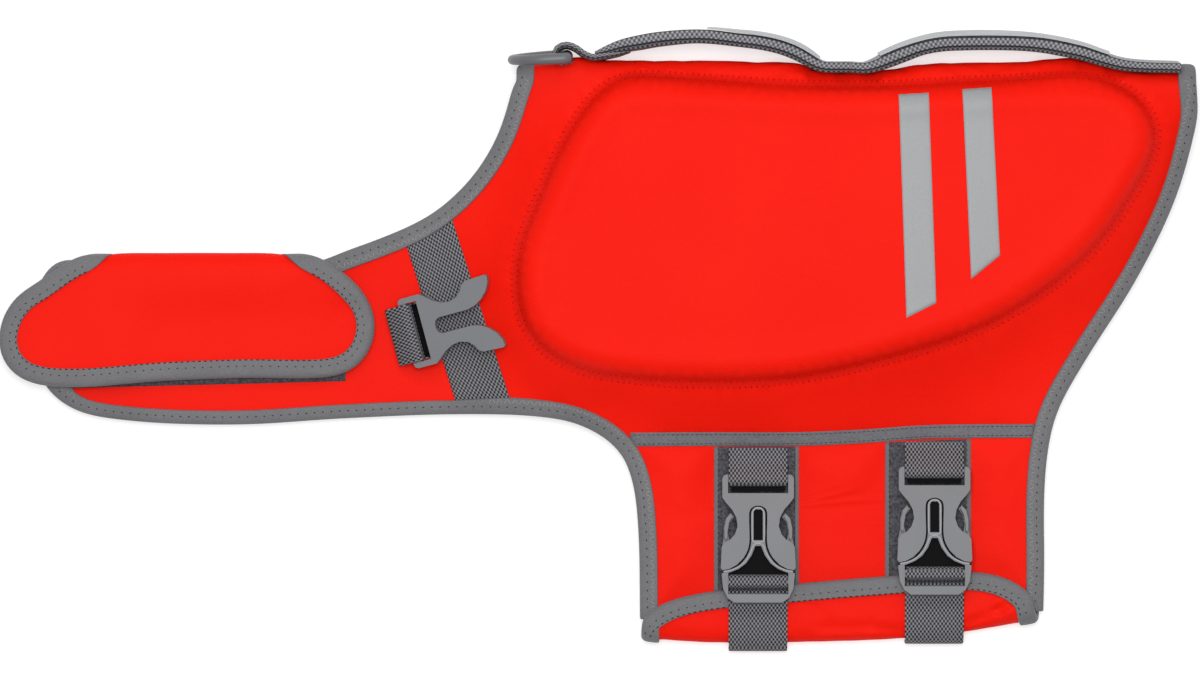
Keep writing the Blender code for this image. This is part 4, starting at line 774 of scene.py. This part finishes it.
def four_sided(corners, step):
    """Rows of plan points between four corners: top left, top right, bottom left, bottom right."""
    corners = [np.array(c, float) for c in corners]
    long = max(2, round(math.dist(corners[0], corners[2]) / step))
    wide = max(2, round(math.dist(corners[0], corners[1]) / step))
    rims = [0.0, 0.5 / (wide * step), *np.linspace(0, 1, wide + 1)[1:-1], 1 - 0.5 / (wide * step), 1.0]
    rows = []
    for t in np.linspace(0, 1, long + 1):
        left, right = corners[0] + (corners[2] - corners[0]) * t, corners[1] + (corners[3] - corners[1]) * t
        rows.append([left + (right - left) * s for s in rims])
    return rows


# Webbing is woven at about 1.5 mm, and it is drawn a little coarser here, so that the weave shows.
grey_webbing = woven("grey_polypropylene_webbing", ("0e0e10", "848489"), 0.0016, 0.0022, 0.6)
dark_loop = brushed("dark_loop_tape", ("303034", "606065"))
wide_loop = brushed("dark_loop_tape_with_selvedges", ("303034", "606065"), BELLY_TAPE_WIDTH)
seam_ribbon = fabric_ribbon("grey_grosgrain", ("58585c", "717175"), 0.0009, 0.6)
silver_film = new_material("silver_reflective_film", Roughness=0.5, Specular_IOR_Level=0.3)
place = add_node(silver_film, "TexCoord").outputs["Object"]
glass_beads = add_node(silver_film, "TexNoise", Vector=place, Scale=1600.0, Detail=2.0)
finish(silver_film, glass_beads, ("8a8c8e", "9d9fa0"))

for name, *corners in REFLECTIVE:
    film = laid_strip(name + "_film", four_sided(corners, 1.5), FILM_THICK, near_tree, lift=0.15, tuck=0.1)
    fit(film, "jacket", "reflective", silver_film, name)
neck_tape = laid_strip("neck_loop_tape_pile", four_sided(NECK_TAPE, 2.5), TAPE_THICK, near_tree)
fit(neck_tape, "jacket", "loop_tape", dark_loop, "neck_loop_tape")
shoulder = laid_strip("shoulder_webbing_strap", four_sided(SHOULDER_WEBBING, 2.0), WEBBING_THICK, near_tree,
                      tuck=3.5)
fit(shoulder, "jacket", "webbing", grey_webbing, "shoulder_webbing")

# The tapes and ribbons press the cloth down where they are sewn, and it stands a little full between them.
points, _ = corners_of(near_lower)
xs, ys = points[:, 0], points[:, 1]
clear = [
    np.min([np.maximum(start - xs, xs - end) for _, start, end in BELLY_TAPES], axis=0),
    seam_at(xs) - SEAM_TAPE_HALF - ys,
    ys - np.interp(xs, *np.array(WRAP_LINE).T) - 0.5,
    from_line(points[:, :2], neck_line)[0] - RIBBON_REACH,
    from_line(points[:, :2], rear_line)[0] - RIBBON_REACH,
]
rise = np.clip(np.min(clear, axis=0) / BAY_RISE, 0, 1)
points[:, 2] += BAY_FULLNESS * rise ** 2 * (3 - 2 * rise)
put_back(near_lower, points)
relax(near_lower, np.clip(3 * rise, 0, 1), 12)
lower_tree = tree_over(near_side, near_lower)
for name, start, end in BELLY_TAPES:
    left, right = (float(seam_at(x)) - BELLY_TAPE_TOP for x in (start, end))
    corners = ((start, left), (end, right), (start, BELLY_TAPE_END), (end, BELLY_TAPE_END))
    tape = laid_strip(name + "_pile", four_sided(corners, 2.0), TAPE_THICK, lower_tree)
    fit(tape, "jacket", "loop_tape", wide_loop, name)
    selvedges = []
    for at in (start + SELVEDGE, end - SELVEDGE):
        selvedges += dashes(np.array([(at, left - 1), (at, SELVEDGE_STITCH_END)]), *SELVEDGE_STITCH)
    sew(name + "_stitches", selvedges, tree_over(tape), 0.16, 0.02, hole_shade)

xs = np.linspace(*SEAM_TAPE_RUN)
middle = np.stack([xs, seam_at(xs)], axis=1)
rows = [[(x, y + s) for s in SEAM_TAPE_ACROSS] for x, y in middle]
seam_tape = laid_strip("side_seam_grosgrain", rows, TAPE_THICK, lower_tree, tuck=4.0)
fit(seam_tape, "jacket", "binding", seam_ribbon, "near_side_seam_tape")
lines = [dashes(middle + (0, out), *SEAM_STITCH) for out in (SEAM_STITCH_OUT, -SEAM_STITCH_OUT)]
sew("side_seam_stitches", lines[0] + lines[1], tree_over(seam_tape), 0.15, 0.02, hole_shade)


# ======================================================================= belly straps
# Two straps of 25 mm webbing. The upper ends are sewn into the side seam and go round the bar of the male
# buckle half; the lower ends go through the female half and down round the belly fold.
STRAP_HOLD = 0.85         # how far a strap's edges are kept from being rounded away


def weave_map(piece, along, across):
    """A UV map in metres from two functions of points and face normals, in millimetres."""
    mesh = piece.data
    layout = mesh.uv_layers.get("weave") or mesh.uv_layers.new(name="weave")
    points, _ = corners_of(piece)
    corner = np.empty(len(mesh.loops), int)
    mesh.loops.foreach_get("vertex_index", corner)
    sizes = np.empty(len(mesh.polygons), int)
    mesh.polygons.foreach_get("loop_total", sizes)
    normals = np.empty(len(mesh.polygons) * 3)
    mesh.polygons.foreach_get("normal", normals)
    faces = np.repeat(normals.reshape(-1, 3), sizes, axis=0)
    uv = np.stack([along(points[corner], faces), across(points[corner], faces)], axis=1) * MM
    layout.data.foreach_set("uv", uv.ravel())


BELLY_STRAPS = (("front", 65.8), ("rear", 139.2))
for label, x in BELLY_STRAPS:
    for part in ("upper", "lower"):
        node = f"belly_{part}_webbing_{label}"
        strap = shell_of(node, node + "_strap", 2, hold=STRAP_HOLD)
        weave_map(strap, lambda p, n: np.where(np.abs(n[:, 1]) > 0.75, p[:, 2], p[:, 1]),
                  lambda p, n: p[:, 0] - x)
        fit(strap, "jacket", "webbing", grey_webbing, node)


# ======================================================================= spine webbing and handles
# One run of folded webbing along the spine, three layers thick, sewn down at its ends and middle and arched
# into two handles. A smooth pale strip is bonded to the outside of each handle.
FRONT_HANDLE = (
    (-2, 119.3, 1.6, 0), (3, 120.8, 3.6, 0), (9, 122.6, 5, 0), (16.7, 124.1, 5.9, 0.5),
    (25, 125.5, 6, 1), (41.7, 126.7, 5.8, 2), (58.3, 125.1, 5.3, 3), (66.7, 124.1, 5.3, 3.5),
    (75, 122.3, 5.3, 4), (82, 119.7, 5.2, 4.5), (86.5, 117.2, 4.9, 4.5), (90, 115.2, 4.5, 4),
    (93.5, 114.1, 4.4, 3), (98, 114, 4.3, 3), (104, 114, 4.3, 3),
)
REAR_HANDLE = (
    (104, 114, 4.3, 3), (110, 113.7, 4.4, 3), (114.5, 114.9, 5, 4), (119.5, 117, 5.7, 4.8),
    (125, 119.3, 5.9, 5.5), (133.3, 122.3, 5.5, 6), (141.7, 124, 5.6, 6.5), (152, 124.6, 5.6, 7),
    (163, 124.7, 5.6, 7), (175, 124.3, 5.6, 6.5), (184, 123.4, 5.7, 6), (192.5, 121.9, 5.7, 6),
    (201, 120, 5.4, 6), (209, 117.4, 5, 5.5), (217, 115.3, 4.6, 5), (225, 114.5, 4.2, 4.8),
    (241, 114, 4, 4.5),
)
RING_LOOP = (
    (-11, 116.2, 1.2, 0), (-14, 115.4, 1.4, 0), (-16.8, 115.7, 1.8, 0), (-18.4, 118.2, 2.2, 0),
    (-17.2, 121.1, 2.5, 0), (-14, 122.2, 2.6, 0), (-10.5, 121, 2.7, 0), (-7, 118.5, 2.7, 0),
    (-3, 117.1, 2.6, 0), (1, 117.5, 2.6, 0), (4.5, 118.2, 2.2, 0), (7.5, 118.9, 1.6, 0),
    (10.5, 119.9, 0.9, 0), (12.5, 120.7, 0.3, 0),
)
FACINGS = (("front", 44.0, 90.5, 0.8), ("rear", 117.0, 212.0, 0.0))     # from, to, how far its foot is out
FACING_GAP = 0.5          # mm, of the slot between the handle and its pale strip
FACING_TOP = 10.2         # mm above the handle's middle, and its foot below that
FACING_FOOT = -11.2
FACING_THICK = 0.4
SPINE_Z = 14.0            # mm, the middle level of the handles
LOOP_Z = 15.8
LOOP_INSIDE = 0.65        # mm of the ring loop's thickness that is inside its line
HANDLE_HALF = 12.2        # mm, half the width of the webbing
FLAT_HALF = 10.4          # mm, the part of its faces between the rounded rims
USUAL_THICK = 5.2
LAYERS = (0.32, 0.68)     # shares of its thickness: one layer inside and a folded pair outside


def run_of(table, step, level):
    """Rows along a run of webbing on edge, and at each its middle and its directions out and up."""
    rows = smooth_line(table, step)
    frames = []
    for (x, y, _, tilt), t in zip(rows, heading(rows[:, :2])):
        lean = math.radians(tilt)
        out, up = np.array([-t[1], t[0], 0.0]), np.array([0.0, 0.0, 1.0])
        frames.append((np.array([x, y, level]), out * math.cos(lean) + up * math.sin(lean),
                       up * math.cos(lean) - out * math.sin(lean)))
    return rows, frames


def layered(inner, thick, shares):
    """A section of webbing layers, as points (out, up), with a groove between each two along its rims."""
    rim = []
    for share in shares:
        for part, drop in ((0.04, 1.0), (0.15, 0.25), (0.5, 0.0), (0.85, 0.25), (0.96, 1.0)):
            rim.append((inner + part * share * thick, HANDLE_HALF - drop))
        inner += share * thick
    flat = np.linspace(FLAT_HALF, -FLAT_HALF, 7)
    section = rim + [(inner, w) for w in flat]
    section += [(d, -w) for d, w in reversed(rim)] + [(inner - thick, w) for w in -flat]
    return np.array(section)


def girth_of(section):
    """How far round a section each of its points lies, and at last its whole girth."""
    return run_along(np.vstack([section, section[:1]]))


def swept(name, frames, sections, usual):
    """A closed body through sections, with a UV map: the distance run, and round the usual section."""
    size = len(usual)
    rings = [middle + np.outer(part[:, 0], out) + np.outer(part[:, 1], up)
             for (middle, out, up), part in zip(frames, sections)]
    run = run_along(np.array([middle for middle, _, _ in frames]))
    girth = girth_of(usual)
    faces, layout = [], []
    for i in range(len(rings) - 1):
        for j in range(size):
            k = (j + 1) % size
            faces.append((i * size + j, i * size + k, (i + 1) * size + k, (i + 1) * size + j))
            layout.append([(run[a], girth[b]) for a, b in ((i, j), (i, j + 1), (i + 1, j + 1), (i + 1, j))])
    last = (len(rings) - 1) * size
    faces += [tuple(reversed(range(size))), tuple(last + j for j in range(size))]
    layout += [[(end, 0.3 * girth[j]) for j in range(size)] for end in (0.0, run[-1])]
    points = np.vstack(rings)
    corners = points[np.array(faces[:-2])] - points.mean(axis=0)
    volume = sum(np.einsum("ij,ij->i", corners[:, 0], np.cross(corners[:, k], corners[:, k + 1])).sum()
                 for k in (1, 2))
    if volume < 0:
        faces = [tuple(reversed(f)) for f in faces]
        layout = [list(reversed(f)) for f in layout]
    piece = new_piece(name, points, faces)
    uv = piece.data.uv_layers.new(name="weave")
    uv.data.foreach_set("uv", (np.array([c for f in layout for c in f]) * MM).ravel())
    only(piece)
    bpy.ops.object.shade_smooth_by_angle(angle=SMOOTH_ANGLE)
    return piece


usual_section = layered(-USUAL_THICK / 2, USUAL_THICK, LAYERS)
round_it = girth_of(usual_section) * MM
groove_at = (round_it[4] + round_it[5]) / 2
HOLLOW_SHADE = ("131315", "1b1b1e")           # painted shade in the hollows beside the layers
HOLLOW_HALF = 0.0003      # m
HOLLOW_RIM = 0.0004
# On the rim the inner layer is darker, painted shade where it lies lower than the outer pair, with painted
# shade in the hollow between the layers and in the one beside the paler outer face.
handle_weave_and_shade = woven("grey_handle_webbing_and_painted_shade", ("46464a", "98989d"), 0.00253, 0.002, 0.7, bands=(
    ("222225", "6c6c71", -1.0, groove_at),
    (*HOLLOW_SHADE, groove_at - HOLLOW_HALF, groove_at + HOLLOW_HALF),
    ("85878a", "b4b6b9", round_it[9], round_it[17]),
    (*HOLLOW_SHADE, round_it[9] - HOLLOW_RIM, round_it[10]),
))
for label, table in (("front", FRONT_HANDLE), ("rear", REAR_HANDLE)):
    rows, frames = run_of(table, 2.0, SPINE_Z)
    sections = [layered(-thick / 2, thick, LAYERS) for thick in rows[:, 2]]
    handle = swept(f"{label}_handle_layers", frames, sections, usual_section)
    fit(handle, "jacket", "webbing", handle_weave_and_shade, f"{label}_handle")

pale_strip = fabric_ribbon("pale_coated_strip", ("a9abad", "b6b8ba"), 0.0012, 0.15)
for (label, start, end, spread), table in zip(FACINGS, (FRONT_HANDLE, REAR_HANDLE)):
    rows, frames = run_of(table, 2.0, SPINE_Z)
    kept = [i for i in range(len(rows)) if start < rows[i, 0] < end]
    sections = []
    for i in kept:
        stand = spread * math.sin(math.pi * (rows[i, 0] - start) / (end - start)) ** 0.5
        near = rows[i, 2] / 2 + FACING_GAP
        sections.append(np.array([(near, FACING_TOP), (near + FACING_THICK, FACING_TOP),
                                  (near + FACING_THICK + stand, FACING_FOOT), (near + stand, FACING_FOOT)]))
    strip = swept(f"{label}_handle_pale_strip", [frames[i] for i in kept], sections, sections[0])
    fit(strip, "jacket", "reflective", pale_strip, f"{label}_handle_facing")

rows, frames = run_of(RING_LOOP, 1.2, LOOP_Z)
turn_at = int(np.argmin(rows[:, 0]))
narrow = np.interp(np.arange(len(rows)), [0.0, turn_at], [0.3, 1.0])    # its tail is folded in and sewn down
sections = [layered(-LOOP_INSIDE, thick, LAYERS) * (1, share) for thick, share in zip(rows[:, 2], narrow)]
ring_loop = swept("ring_loop_webbing", frames, sections, usual_section)
fit(ring_loop, "jacket", "webbing", handle_weave_and_shade, "d_ring_loop")


# ======================================================================= leash ring
# A moulded ring of grey acetal with a straight bar inside the webbing loop and a round bow, one round rod
# all the way.
RING_FULLER = ((-45.0, -22.0), (0.5, 1.1))      # mm in x from bow to bar, and how much fuller the rod is


def moulded(name, hexes, gloss):
    """Moulded acetal: a fine spark-eroded grain and a soft gloss."""
    material = new_material(name, Roughness=0.42, IOR=1.48, Specular_IOR_Level=gloss)
    place = add_node(material, "TexCoord").outputs["Object"]
    flow = add_node(material, "TexNoise", Vector=place, Scale=60.0, Detail=2.0)
    grain = add_node(material, "TexNoise", Vector=place, Scale=3000.0, Detail=2.0)
    return finish(material, flow, hexes, grain, 0.12, 0.0001)


# A darker copy of the buckles' acetal: painted shade on the ring, which is seen on edge and lit from above.
shaded_ring_acetal = moulded("grey_ring_acetal", ("5f6063", "67686b"), 0.4)
ring = shell_of("d_ring", "leash_ring", 2)
points, normals = corners_of(ring)
fuller = np.interp(points[:, 0], *RING_FULLER)
put_back(ring, points + normals * fuller[:, None])
fit(ring, "d_ring", "plastic", shaded_ring_acetal, "d_ring")


# ======================================================================= buckles
# Side-release buckles for 25 mm webbing, moulded in the same acetal. The belly pair are fastened; only the
# male half of the shoulder buckle is on this side, on its loop of webbing.
def rounded(node, name, width):
    """A moulded part on the form of a CAD node, with its edges rounded."""
    piece = shell_of(node, name, 0, quads=False)
    open_all(piece)
    bpy.ops.mesh.dissolve_limited(angle_limit=math.radians(1.5))
    bpy.ops.object.mode_set(mode="OBJECT")
    bpy.ops.object.modifier_add(type="BEVEL")
    bevel = piece.modifiers[0]
    bevel.width = width * MM
    bevel.segments = 2
    bevel.limit_method = "ANGLE"
    bevel.angle_limit = math.radians(38)
    bpy.ops.object.modifier_apply(modifier=bevel.name)
    bpy.ops.object.shade_smooth_by_angle(angle=math.radians(42))
    bpy.ops.object.modifier_add(type="WEIGHTED_NORMAL")
    piece.modifiers[0].keep_sharp = True
    bpy.ops.object.modifier_apply(modifier=piece.modifiers[0].name)
    return piece


grey_acetal = moulded("grey_moulded_acetal", ("727376", "797a7d"), 0.15)
fit(rounded("shoulder_buckle", "shoulder_buckle_prongs", 0.55), "shoulder_buckle", "plastic", grey_acetal,
    "shoulder_buckle")
for label, x in BELLY_STRAPS:
    for half in ("male", "female"):
        node = f"belly_buckle_{half}_{label}"
        fit(rounded(node, f"{node}_moulding", 0.4), "jacket", "plastic", grey_acetal, node)
BUCKLE_Y_Z = {"front": (-82.3, 14.2), "rear": (-79.0, 14.1)}     # middle of each belly buckle
BUCKLE_TILT = math.radians(5.6)
BUCKLE_HALF = 26.7        # mm, half its length
FACE_LEVEL = 1.8          # mm from its middle up to its face
# Half outlines on a belly buckle: millimetres along it from its upper end, and from its middle line.
FORK = (
    (13.4, 0.0), (13.7, 1.5), (14.7, 2.9), (16.0, 3.3), (28.3, 3.3), (31.9, 4.1), (35.3, 6.0), (38.2, 8.9),
    (40.0, 12.2), (40.7, 15.2),
)
SLOT_RIM = (
    (13.9, 0.0), (14.2, 1.3), (15.4, 2.3), (17.0, 2.45), (26.4, 2.45), (27.9, 2.3), (28.2, 1.2), (28.2, 0.0),
)
MOUTH_RIM = ((28.8, 0.0), (29.4, 1.9), (32.6, 3.2), (35.9, 5.2), (38.4, 8.0), (40.0, 11.4), (40.6, 14.4))
RECESSES = (              # name, level of its floor and half outline; each floor is a near-black plate, painted shade in the recess
    ("slot_shade_plate", 0.6, ((14.2, 1.9), (16.0, 2.3), (27.8, 2.3))),
    ("mouth_shade_plate", -0.4, ((29.2, 1.4), (32.6, 3.0), (35.9, 5.0), (38.4, 7.8), (40.0, 11.2), (41.4, 12.6),
                           (43.6, 12.6))),
    ("bar_gap_shade_plate", -1.0, ((3.8, 11.2), (6.9, 11.2))),
)
FLOOR_THICK = 0.3
LOOP_TURN = math.radians(15.0)          # of the shoulder buckle's webbing loop
SLOT_ALONG = (-72.1, -69.2)             # mm, the slot between its bar and its body, in the loop's directions
SLOT_ACROSS = (12.2, 34.8)
# Near-black acetal is painted shade: the recess floors, the slot beside the shoulder buckle's bar and the
# groove round each belly buckle's fork.
shade_black_acetal = new_material("shaded_acetal", Base_Color=colour("0b0b0d"), Roughness=0.8,
                           Specular_IOR_Level=0.1)
# A paler copy of the same acetal for the raised rims round the slot and mouth: painted highlight where they
# catch the light.
rim_highlight_acetal = moulded("pale_rim_acetal", ("8a8b8f", "929397"), 0.3)


def on_buckle(label, x, path, level):
    """Places on a belly buckle from columns along it and across it."""
    y, z = BUCKLE_Y_Z[label]
    along = np.array([0.0, -math.cos(BUCKLE_TILT), math.sin(BUCKLE_TILT)])
    up = np.array([0.0, math.sin(BUCKLE_TILT), math.cos(BUCKLE_TILT)])
    middle = np.array([x, y, z]) + level * up
    return np.array([middle + along * (a - BUCKLE_HALF) + np.array([b, 0.0, 0.0]) for a, b in path]), up


def raised_line(name, label, x, half, width, height, material):
    """A moulded rib that follows half an outline and its mirror image."""
    line = smooth_line([(a, -b) for a, b in reversed(half[1:])] + list(half), 0.8)
    places, up = on_buckle(label, x, line, FACE_LEVEL)
    frames = [(place, np.cross(up, t), up) for place, t in zip(places, heading(places))]
    turns = np.linspace(0, 2 * math.pi, 8, endpoint=False)
    section = np.stack([width / 2 * np.cos(turns), height * np.sin(turns)], axis=1)
    fit(swept(name, frames, [section] * len(frames), section), "jacket", "plastic", material)


def shade_plate_in_recess(name, label, x, half, level):
    """A thin near-black plate that closes a recess from below, painted shade in the recess."""
    outline = list(half) + [(a, -b) for a, b in reversed(half)]
    high, _ = on_buckle(label, x, outline, level)
    low, _ = on_buckle(label, x, outline, level - FLOOR_THICK)
    count = len(outline)
    faces = [tuple(range(count)), tuple(count + j for j in reversed(range(count)))]
    faces += [(j, count + j, count + (j + 1) % count, (j + 1) % count) for j in range(count)]
    piece = new_piece(name, np.vstack([high, low]), faces)
    faces_out(piece)
    fit(piece, "jacket", "plastic", shade_black_acetal)


def turned(x, y, angle):
    """Plan coordinates turned round the origin."""
    return x * math.cos(angle) - y * math.sin(angle), x * math.sin(angle) + y * math.cos(angle)


for label, x in BELLY_STRAPS:
    # The groove round the fork is a low near-black rib, painted shade in the groove.
    raised_line(f"belly_buckle_groove_{label}", label, x, FORK, 0.8, 0.08, shade_black_acetal)
    raised_line(f"belly_buckle_slot_rim_{label}", label, x, SLOT_RIM, 0.9, 0.35, rim_highlight_acetal)
    raised_line(f"belly_buckle_mouth_rim_{label}", label, x, MOUTH_RIM, 0.9, 0.35, rim_highlight_acetal)
    for part, level, half in RECESSES:
        shade_plate_in_recess(f"belly_buckle_{part}_{label}", label, x, half, level)

loop_strap = shell_of("shoulder_buckle_loop", "shoulder_buckle_loop_webbing", 2, hold=STRAP_HOLD)
weave_map(loop_strap,
          lambda p, n: np.where(n[:, 2] ** 2 < 0.4, p[:, 2], turned(p[:, 0], p[:, 1], -LOOP_TURN)[0]),
          lambda p, n: turned(p[:, 0], p[:, 1], -LOOP_TURN)[1])
fit(loop_strap, "jacket", "webbing", grey_webbing, "shoulder_buckle_loop")
# A near-black plate in the slot between the shoulder buckle's bar and its body, laid on the loop and riding
# with the buckle: painted shade in the slot.
rows = [[turned(u, v, LOOP_TURN) for u in np.linspace(*SLOT_ALONG, 5)] for v in np.linspace(*SLOT_ACROSS, 10)]
slot_shade_plate = laid_strip("shoulder_buckle_slot_floor", rows, FLOOR_THICK, tree_over(loop_strap), tuck=0.1)
fit(slot_shade_plate, "shoulder_buckle", "plastic", shade_black_acetal)
